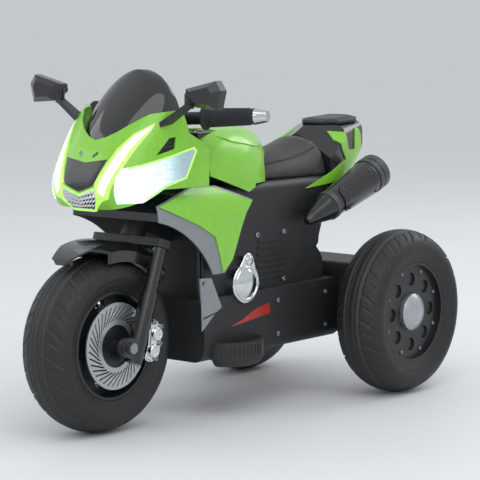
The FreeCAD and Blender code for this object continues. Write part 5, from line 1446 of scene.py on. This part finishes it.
@dataclass
class SoftPad:
    """A stuffed pad in leathercloth: swollen as cloth, then sewn along a seam with piping and stitches.

    The seam is drawn from above. A stitch has its length, width, height and rounding.
    """

    name: str
    node: str
    seam: tuple[Pair, ...]
    base_height: float
    shrink: float = 1.6
    cap: float = 5.0
    voxel: float = 4.5
    pressure: float = 4.0
    frames: int = 20
    seam_depth: float = 1.5
    seam_reach: float = 5.0
    piping_radius: float = 1.5
    piping_sink: float = 0.5
    stitch: Four = (3.8, 0.9, 0.7, 0.3)
    stitch_offset: float = 5.2
    stitch_pitch: float = 6.0
    fill: float = 0.75
    above: float = 900.0

    def blank(self) -> Object:
        """A merged copy of the CAD solid, a little smaller and evenly meshed.

        Returns:
            The object.
        """
        build = bmesh.new()
        build.from_mesh(frame["nodes"][self.node].data)
        bmesh.ops.remove_doubles(build, verts=build.verts, dist=1e-5)
        bmesh.ops.recalc_face_normals(build, faces=build.faces)
        build.normal_update()
        moves = [vert.normal * self.shrink * MM for vert in build.verts]
        for vert, move in zip(build.verts, moves):
            if vert.co.z > self.base_height * MM + 1e-4:
                vert.co -= move
        mesh = bpy.data.meshes.new(self.name)
        build.to_mesh(mesh)
        build.free()
        pad = new_object(self.name, mesh)
        remesh = pad.modifiers.new("even", "REMESH")
        remesh.mode, remesh.voxel_size = "VOXEL", self.voxel * MM
        return settle(pad)

    def swell(self, pad: Object) -> None:
        """Blows the pad up as cloth and holds back points that go too far.

        Args:
            pad: the evenly meshed pad.
        """
        before = [vert.co.copy() for vert in pad.data.vertices]
        held = pad.vertex_groups.new(name="base")
        held.add([v.index for v in pad.data.vertices if v.co.z < (self.base_height + 1.5) * MM], 1.0, "REPLACE")
        cloth = pad.modifiers.new("cloth", "CLOTH")
        cloth.settings.use_pressure = True
        cloth.settings.uniform_pressure_force = self.pressure
        cloth.settings.effector_weights.gravity = 0.0
        cloth.settings.vertex_group_mass = "base"
        for number in range(1, self.frames + 1):
            bpy.context.scene.frame_set(number)
        settle(pad)
        bpy.context.scene.frame_set(1)
        for vert, start in zip(pad.data.vertices, before):
            move = vert.co - start
            if move.length > self.cap * MM:
                vert.co = start + move.normalized() * self.cap * MM

    def seam_line(self, pad: Object) -> tuple[list[Vector], list[Vector]]:
        """The seam on the pad's surface.

        Args:
            pad: the swollen pad.

        Returns:
            Places and surface directions along the seam.
        """
        skin = Skin(pad)
        places, normals = [], []
        for x, y in curve_through(self.seam, 12):
            met = skin.hit(point(x, y, self.above), Vector((0, 0, -1)))
            if met:
                places.append(met[0])
                normals.append(met[1])
        return places, normals

    def build(self) -> None:
        """Makes the pad, its piping and its stitches."""
        pad = self.blank()
        self.swell(pad)
        pad.modifiers.new("smooth", "SMOOTH").iterations = 4
        fine = pad.modifiers.new("fine", "SUBSURF")
        fine.levels = fine.render_levels = 1
        settle(pad)
        places, normals = self.seam_line(pad)
        finder = KDTree(len(places))
        for i, place in enumerate(places):
            finder.insert(place, i)
        finder.balance()
        for vert in pad.data.vertices:
            _, index, gap = finder.find(vert.co)
            near = 1 - gap / (self.seam_reach * MM)
            if near > 0:
                vert.co -= normals[index] * self.seam_depth * MM * near * near
        pad.data.polygons.foreach_set("use_smooth", [True] * len(pad.data.polygons))
        put_on(pad, "frame", "seat_cover", HIDE, self.node)
        raised = [place - normal * self.piping_sink * MM for place, normal in zip(places, normals)]
        source = marked(self.name + "_piping", raised, linked=True)
        values = {"Radius": self.piping_radius * MM, "Material": HIDE.make()}
        put_on(grow(self.name + "_piping", piping_tree(), source, values), "frame", "seat_cover", HIDE)
        self.sew(pad, places, normals)

    def sew(self, pad: Object, places: list[Vector], normals: list[Vector]) -> None:
        """Makes the rows of stitches beside the seam.

        Args:
            pad: the finished pad.
            places: the seam's places.
            normals: the surface's directions there.
        """
        skin = Skin(pad)
        rows = []
        for side in SIDES:
            line, facing = [], []
            for i, (place, normal) in enumerate(zip(places, normals)):
                way = places[min(i + 1, len(places) - 1)] - places[max(i - 1, 0)]
                across = normal.cross(way).normalized() * side * self.stitch_offset * MM
                met = skin.hit(place + across + normal * 0.02, -normal)
                if met:
                    line.append(met[0] + met[1] * 0.1 * MM)
                    facing.append(met[1])
            model = rounded_bar(*self.stitch)
            values = {"Shape": model, "Pitch": self.stitch_pitch * MM, "Material": THREAD.make()}
            source = marked("stitch_path", line, linked=True, facing=facing)
            rows.append(grow("stitch_row", stitch_tree(), source, values))
            bpy.data.objects.remove(model)
        put_on(joined(self.name + "_stitches", *rows), "frame", "seat_cover", THREAD)


@dataclass
class EngineSides:
    """The moulded engine on the middle shell's sides: cooling fins, studs, and the plated cover's raised rings."""

    shell_half: float = 82.0
    fin_front: float = 14.0
    fin_length: float = 84.0
    fin_low: float = 232.0
    fin_pitch: float = 11.0
    fins: int = 7
    fin_width: float = 4.2
    fin_height: float = 3.5
    fin_bevel: float = 1.2
    fin_taper: float = 0.05
    fin_sink: float = 0.5
    stud: Triple = (5.0, 3.6, 2.4)
    stud_sink: float = 0.3
    studs: tuple[Pair, ...] = ((18.0, 224.0), (94.0, 224.0), (18.0, 310.0), (94.0, 310.0))
    dome: tuple[Pair, ...] = (
        (-1.0, 0.0), (-1.0, 31.0), (0.8, 31.0), (2.0, 29.6), (2.0, 27.4), (0.6, 26.0), (1.4, 24.6), (3.6, 21.0),
        (5.6, 16.0), (6.8, 10.0), (7.3, 4.0), (7.4, 0.0),
    )
    cap: tuple[Pair, ...] = ((-1.0, 0.0), (-1.0, 8.0), (1.6, 8.0), (2.6, 6.6), (3.0, 3.0), (3.1, 0.0))
    cover_face: float = 105.4
    cover_centre: Pair = (-38.0, 232.0)
    cap_centre: Pair = (-32.0, 271.0)

    def build(self) -> None:
        """Makes the fins, the studs and the cover's rings."""
        spots, studs = Spots(), Spots()
        middle = self.fin_front + self.fin_length / 2
        for side in SIDES:
            for i in range(self.fins):
                short = 1.0 - self.fin_taper * abs(i - (self.fins - 1) / 2)
                place = point(side * (self.shell_half - self.fin_sink), middle, self.fin_low + self.fin_pitch * i)
                spots.add(place, Vector((side, 0, 0)), BACK, (short, 1, 1))
        studs.add_sides(self.shell_half - self.stud_sink, self.studs)
        bar = rounded_bar(self.fin_length, self.fin_width, self.fin_height, self.fin_bevel)
        fins = spots.grow("cooling_fins", bar, MATTE)
        put_on(fins, "frame", "black_matte", MATTE)
        put_on(studs.grow("engine_studs", hex_screw(*self.stud), STEEL), "frame", "steel", STEEL)
        dome = lathe("cover_dome", self.dome, point(self.cover_face, *self.cover_centre), OUT, 64)
        cap = lathe("cover_cap", self.cap, point(self.cover_face, *self.cap_centre), OUT, 40)
        put_on(with_other_side(joined("engine_cover_rings", dome, cap)), "frame", "chrome", CHROME)


@dataclass
class TankShoulders:
    """The crease along each side of the tank: a raised panel that ends in a crisp lower edge."""

    crease: tuple[Triple, ...] = (
        (46.0, -62.0, 490.0), (57.3, -54.2, 485.1), (66.6, -38.1, 478.7), (70.3, -19.7, 474.4), (70.3, 8.1, 469.8),
        (67.5, 25.7, 466.3), (60.8, 47.4, 463.8), (54.0, 62.0, 462.0),
    )
    crown: tuple[Triple, ...] = (
        (40.0, -60.0, 493.0), (42.0, -50.0, 494.0), (46.0, -34.0, 493.5), (49.0, -16.0, 491.5), (48.0, 10.0, 488.5),
        (45.0, 28.0, 486.0), (38.0, 48.0, 482.5), (32.0, 62.0, 480.0),
    )
    way: Triple = (-0.75, 0.0, -0.66)
    height: float = 2.4

    def lift(self, along: float, across: float) -> float:
        """The panel's height: none at its crown and ends, full at the crease."""
        return self.height * across**1.5 * smooth(0.0, 0.25, along) * smooth(0.0, 0.25, 1 - along)

    def build(self) -> None:
        """Makes both panels."""
        skin = Skin(frame["nodes"]["tank_cover"])
        way = Vector(self.way).normalized()
        grid = []
        for high, low in zip(curve_through(self.crown, 8), curve_through(self.crease, 8)):
            start, end = point(*high), point(*low)
            grid.append([start + (end - start) * i / 8 - way * 0.05 for i in range(9)])
        panels = skin.patch("tank_shoulders", grid, way, self.lift, 0.6)
        put_on(with_other_side(panels), "frame", "lime_gloss", LIME)


@dataclass
class FootBoards:
    """Ribs on the footboards: across the tread, and upright round the outer wall.

    The tread's ribs stay clear of its front, its back, its outer edge and the tub, in this order. A bar has its
    length, width, height and rounding. No rib stands between the pedal's two ends.
    """

    centre: Pair = (86.5, -60.0)
    half: Pair = (53.5, 62.0)
    level: float = 136.0
    tub_half: float = 97.0
    pedal: Pair = (-102.0, -22.0)
    pitch: float = 8.5
    clear: Four = (12.0, 8.0, 6.0, 4.0)
    shortest: float = 8.0
    tread_bar: Four = (40.0, 3.2, 1.6, 0.6)
    tread_sink: float = 0.2
    wall_bar: Four = (20.0, 3.0, 1.5, 0.6)
    wall_drop: float = 15.0
    wall_sink: float = 0.3
    wall_angles: tuple[float, ...] = tuple(8.0 * i - 22.0 for i in range(-5, 6))

    def build(self) -> None:
        """Makes both sets of ribs."""
        tread, wall = Spots(), Spots()
        front, back, edge, root = self.clear
        for side in SIDES:
            y = self.centre[1] - self.half[1] + front
            while y < self.centre[1] + self.half[1] - back:
                inside = math.sqrt(max(0.0, 1 - ((y - self.centre[1]) / self.half[1]) ** 2))
                outer = self.centre[0] + self.half[0] * inside - edge
                inner = self.tub_half + root
                if outer - inner > self.shortest and (side > 0 or not self.pedal[0] < y < self.pedal[1]):
                    place = point(side * (outer + inner) / 2, y, self.level - self.tread_sink)
                    tread.add(place, UP, OUT, ((outer - inner) / self.tread_bar[0], 1, 1))
                y += self.pitch
            for angle in map(math.radians, self.wall_angles):
                c, s = math.cos(angle), math.sin(angle)
                out = Vector((self.half[1] * c * side, self.half[0] * s, 0)).normalized()
                x, y = self.centre[0] + self.half[0] * c, self.centre[1] + self.half[1] * s
                wall.add(point(side * x, y, self.level - self.wall_drop) - out * self.wall_sink * MM, out, UP)
        sets = (("footboard_ribs", tread, self.tread_bar), ("footboard_wall_ribs", wall, self.wall_bar))
        for name, spots, bar in sets:
            put_on(spots.grow(name, rounded_bar(*bar), MATTE), "frame", "black_matte", MATTE)


@dataclass
class Mufflers:
    """Smooth outer shields and clamp bands on the mufflers.

    The cone is given by two places along its axis, each with its radius, the shield by its ends along the axis and
    its arc in degrees, and a screw's inset by a distance and an angle.
    """

    start: Triple = (113.0, 122.0, 327.3)
    tilt: float = 20.0
    cone: Four = (60.0, 25.0, 210.0, 33.0)
    shield: Pair = (86.0, 190.0)
    arc: Pair = (-52.0, 66.0)
    corner_radius: float = 16.0
    grid: tuple[int, int] = (96, 48)
    lift: float = 0.9
    thick: float = 1.3
    screw: Triple = (3.2, 1.6, 1.5)
    screw_inset: Pair = (12.0, 20.0)
    screw_sink: float = 0.1
    bands: Pair = (70.0, 202.0)
    band_section: tuple[Pair, ...] = (
        (-6.0, -1.0), (-6.0, 0.8), (-5.2, 1.4), (5.2, 1.6), (6.0, 1.0), (6.0, -1.0), (-6.0, -1.0),
    )

    def radius(self, along: float) -> float:
        """The can's radius at a distance along its axis."""
        a, ra, b, rb = self.cone
        return ra + (rb - ra) * (along - a) / (b - a)

    def way(self) -> Vector:
        """The direction of the can's axis."""
        tilt = math.radians(self.tilt)
        return Vector((0, math.cos(tilt), math.sin(tilt)))

    def place(self, along: float, angle: float, radius: float) -> Vector:
        """A place round the left can.

        Args:
            along: the distance along its axis in millimetres.
            angle: the turn about the axis in degrees: 0 faces outwards, 90 upwards.
            radius: the distance from the axis.

        Returns:
            The place.
        """
        way = self.way()
        up = Vector((0, -way.z, way.y))
        turn = math.radians(angle)
        out = OUT * math.cos(turn) + up * math.sin(turn)
        return point(*self.start) + way * along * MM + out * radius * MM

    def corner(self, along: float, angle: float) -> float:
        """How far outside the shield's rounded outline a place is, in millimetres; inside is negative."""
        first, last = self.shield
        low, high = self.arc
        reach = math.radians(1.0) * self.radius(along)
        out = max(first - along, along - last) + self.corner_radius
        round_out = max((low - angle) * reach, (angle - high) * reach) + self.corner_radius
        return math.hypot(max(out, 0.0), max(round_out, 0.0)) - self.corner_radius

    def build(self) -> None:
        """Makes the shields, the bands and the screws."""
        self.build_shields()
        self.build_bands()
        self.build_screws()

    def build_shields(self) -> None:
        """Makes the thin outer shields with rounded corners."""
        rows, columns = self.grid
        first, last = self.shield
        low, high = self.arc
        points, inside = [], []
        for i in range(rows + 1):
            along = first + (last - first) * i / rows
            for j in range(columns + 1):
                angle = low + (high - low) * j / columns
                points.append(self.place(along, angle, self.radius(along) + self.lift))
        for i in range(rows):
            for j in range(columns):
                middle = (first + (last - first) * (i + 0.5) / rows, low + (high - low) * (j + 0.5) / columns)
                inside.append(self.corner(*middle) < 0)
        faces = [quad for quad, kept in zip(grid_faces(rows + 1, columns + 1), inside) if kept]
        shield = shape("muffler_shields", points, faces)
        way = self.way()
        with edited(shield.data) as build:
            for face in build.faces:
                arm = face.calc_center_median() - point(*self.start)
                if face.normal.dot(arm - way * arm.dot(way)) < 0:
                    face.normal_flip()
        wall = shield.modifiers.new("wall", "SOLIDIFY")
        wall.thickness, wall.offset = self.thick * MM, 1.0
        settle(shield)
        put_on(with_other_side(shield), "frame", "black_gloss", BLACK)

    def build_bands(self) -> None:
        """Makes the clamp bands."""
        bands = []
        for along in self.bands:
            profile = [(shift, self.radius(along) + rise) for shift, rise in self.band_section]
            bands.append(lathe("muffler_band", profile, self.place(along, 0, 0), self.way(), 72))
        put_on(with_other_side(joined("muffler_bands", *bands)), "frame", "black_gloss", GUNMETAL)

    def build_screws(self) -> None:
        """Makes the screws at the shields' corners."""
        first, last = self.shield
        low, high = self.arc
        inset, turn = self.screw_inset
        spots = Spots()
        for side in SIDES:
            for along in (first + inset, last - inset):
                for angle in (low + turn, high - turn):
                    place = self.place(along, angle, self.radius(along) + self.lift + self.thick - self.screw_sink)
                    out = place - self.place(along, 0, 0)
                    place.x, out.x = place.x * side, out.x * side
                    spots.add(place, out.normalized(), BACK)
        put_on(spots.grow("shield_screws", hex_screw(*self.screw), GUNMETAL), "frame", "steel", GUNMETAL)


@dataclass
class Fasteners:
    """Socket-head screws in place of the plain CAD heads, where the CAD has them."""

    node: str = "body_screws"
    turn: float = 0.7

    def islands(self) -> list[tuple[Vector, Vector]]:
        """Finds each separate head in the CAD node.

        Returns:
            The lowest and highest corner of each.
        """
        build = bmesh.new()
        build.from_mesh(frame["nodes"][self.node].data)
        bmesh.ops.remove_doubles(build, verts=build.verts, dist=1e-5)
        left = set(build.verts)
        boxes = []
        while left:
            todo, seen = [left.pop()], []
            while todo:
                vert = todo.pop()
                seen.append(vert.co.copy())
                for edge in vert.link_edges:
                    other = edge.other_vert(vert)
                    if other in left:
                        left.remove(other)
                        todo.append(other)
            low = Vector(min(p[i] for p in seen) for i in range(3))
            boxes.append((low, Vector(max(p[i] for p in seen) for i in range(3))))
        build.free()
        return sorted(boxes, key=lambda box: tuple(round(v, 4) for v in box[0]))

    def build(self) -> None:
        """Makes the screws."""
        spots = Spots()
        radius = height = 0.0
        for number, (low, high) in enumerate(self.islands()):
            size, middle = high - low, (high + low) / 2
            axis = min(range(3), key=lambda i: size[i])
            facing = Vector((0, 0, 0))
            facing[axis] = 1.0 if middle[axis] > 0 else -1.0
            place = middle - facing * size[axis] / 2
            c, s = math.cos(self.turn * number), math.sin(self.turn * number)
            spots.add(place, facing, Vector((0, c, s)) if axis == 0 else Vector((c, 0, s)))
            radius, height = max(size) / 2 / MM, size[axis] / MM
        screws = spots.grow("socket_screws", hex_screw(radius, height, radius * 0.45), STEEL)
        put_on(screws, "frame", "steel", STEEL, self.node)


@dataclass
class SideFilms:
    """Printed film on the tub: a plain red sweep, and dark edge marks on the grey accent plates."""

    aside: float = 300.0
    thickness: float = 0.25
    plate_face: float = 98.5
    sweep_top: tuple[Pair, ...] = ((-70.0, 160.0), (-40.0, 168.0), (-8.0, 181.0), (36.0, 189.0))
    sweep_low: tuple[Pair, ...] = ((-70.0, 158.6), (-38.0, 162.0), (-2.0, 166.0), (36.0, 170.0))
    accents: tuple[tuple[Pair, ...], ...] = (
        ((-151.0, 246.0), (-144.0, 247.0), (-147.0, 240.5), (-151.0, 238.0)),
        ((-149.0, 184.0), (-113.0, 190.2), (-116.0, 187.2), (-149.0, 180.5)),
    )

    def film_lift(self, along: float, across: float) -> float:
        """The film's thickness, the same all over."""
        return self.thickness

    def build(self) -> None:
        """Makes the films."""
        skin = Skin(frame["nodes"]["lower_tub"])
        top, low = curve_through(self.sweep_top, 8), curve_through(self.sweep_low, 8)
        grid = []
        for (y0, z0), (y1, z1) in zip(top, low):
            grid.append([point(self.aside, y0 + (y1 - y0) * i / 4, z0 + (z1 - z0) * i / 4) for i in range(5)])
        sweep = skin.patch("red_sweeps", grid, IN, self.film_lift, 0.3)
        put_on(with_other_side(sweep), "frame", "red_lens", FILM)
        marks = []
        for outline in self.accents:
            marks.append(plate("accent_mark", outline, self.plate_face - 0.4, self.plate_face + 0.3, 0.1, 1))
        put_on(with_other_side(joined("accent_marks", *marks)), "frame", "black_gloss", BLACK)


def across(left: tuple[Pair, ...], middle: Pair) -> tuple[Pair, ...]:
    """A line of places on the left, through the middle and back on the right."""
    return left + (middle,) + tuple((-x, y) for x, y in reversed(left))


def dress_cad() -> None:
    """Gives every CAD node the finish of its material slot, or its own."""
    for name, obj in sorted(frame["nodes"].items()):
        for part in obj.material_slots:
            finish = NODE_FINISHES.get(name) or SLOT_FINISHES[part.material.name.split(".")[0]]
            part.material = finish.make()


def main() -> None:
    """Builds the studio and each sub-assembly in order."""
    logging.basicConfig(level=logging.INFO, format="%(name)s: %(message)s")
    Studio().build()
    dress_cad()
    RoadWheel(
        "front_wheel", "front_tyre", (0.0, -308.0, 150.0), radius=150.0, width=98.0,
        screw_face=5.0, screw_sides=(1, -1), screw_circle=64.0, screw_count=6,
    ).build()
    for side, label in ((1, "left"), (-1, "right")):
        RoadWheel(
            "rear_wheel_" + label, "rear_tyre_" + label, (186.0 * side, 308.0, 151.0), radius=151.0, width=95.0,
            screw_face=27.5, screw_sides=(side,), screw_circle=78.0, screw_count=8,
        ).build()
    FrontBrake().build()
    HeadLamps().build()
    BarGrips().build()
    seat_seam = ((50.0, 226.0), (51.0, 180.0), (49.0, 130.0), (42.0, 88.0), (24.0, 68.0))
    SoftPad("seat_cushion", "seat", across(seat_seam, (0.0, 64.0)), 402.0).build()
    tail_seam = ((26.0, 300.0), (33.0, 316.0), (33.0, 362.0))
    SoftPad(
        "tail_cushion", "tail_pad", across(tail_seam, (0.0, 369.0)) + ((0.0, 295.0), tail_seam[0]), 490.0,
        shrink=0.6, cap=3.0, voxel=3.0, pressure=2.0, piping_radius=1.0, stitch_offset=3.6, seam_depth=1.0,
        seam_reach=3.5, stitch_pitch=5.0,
    ).build()
    TankShoulders().build()
    EngineSides().build()
    FootBoards().build()
    Mufflers().build()
    Fasteners().build()
    SideFilms().build()


if __name__ == "__main__":
    main()
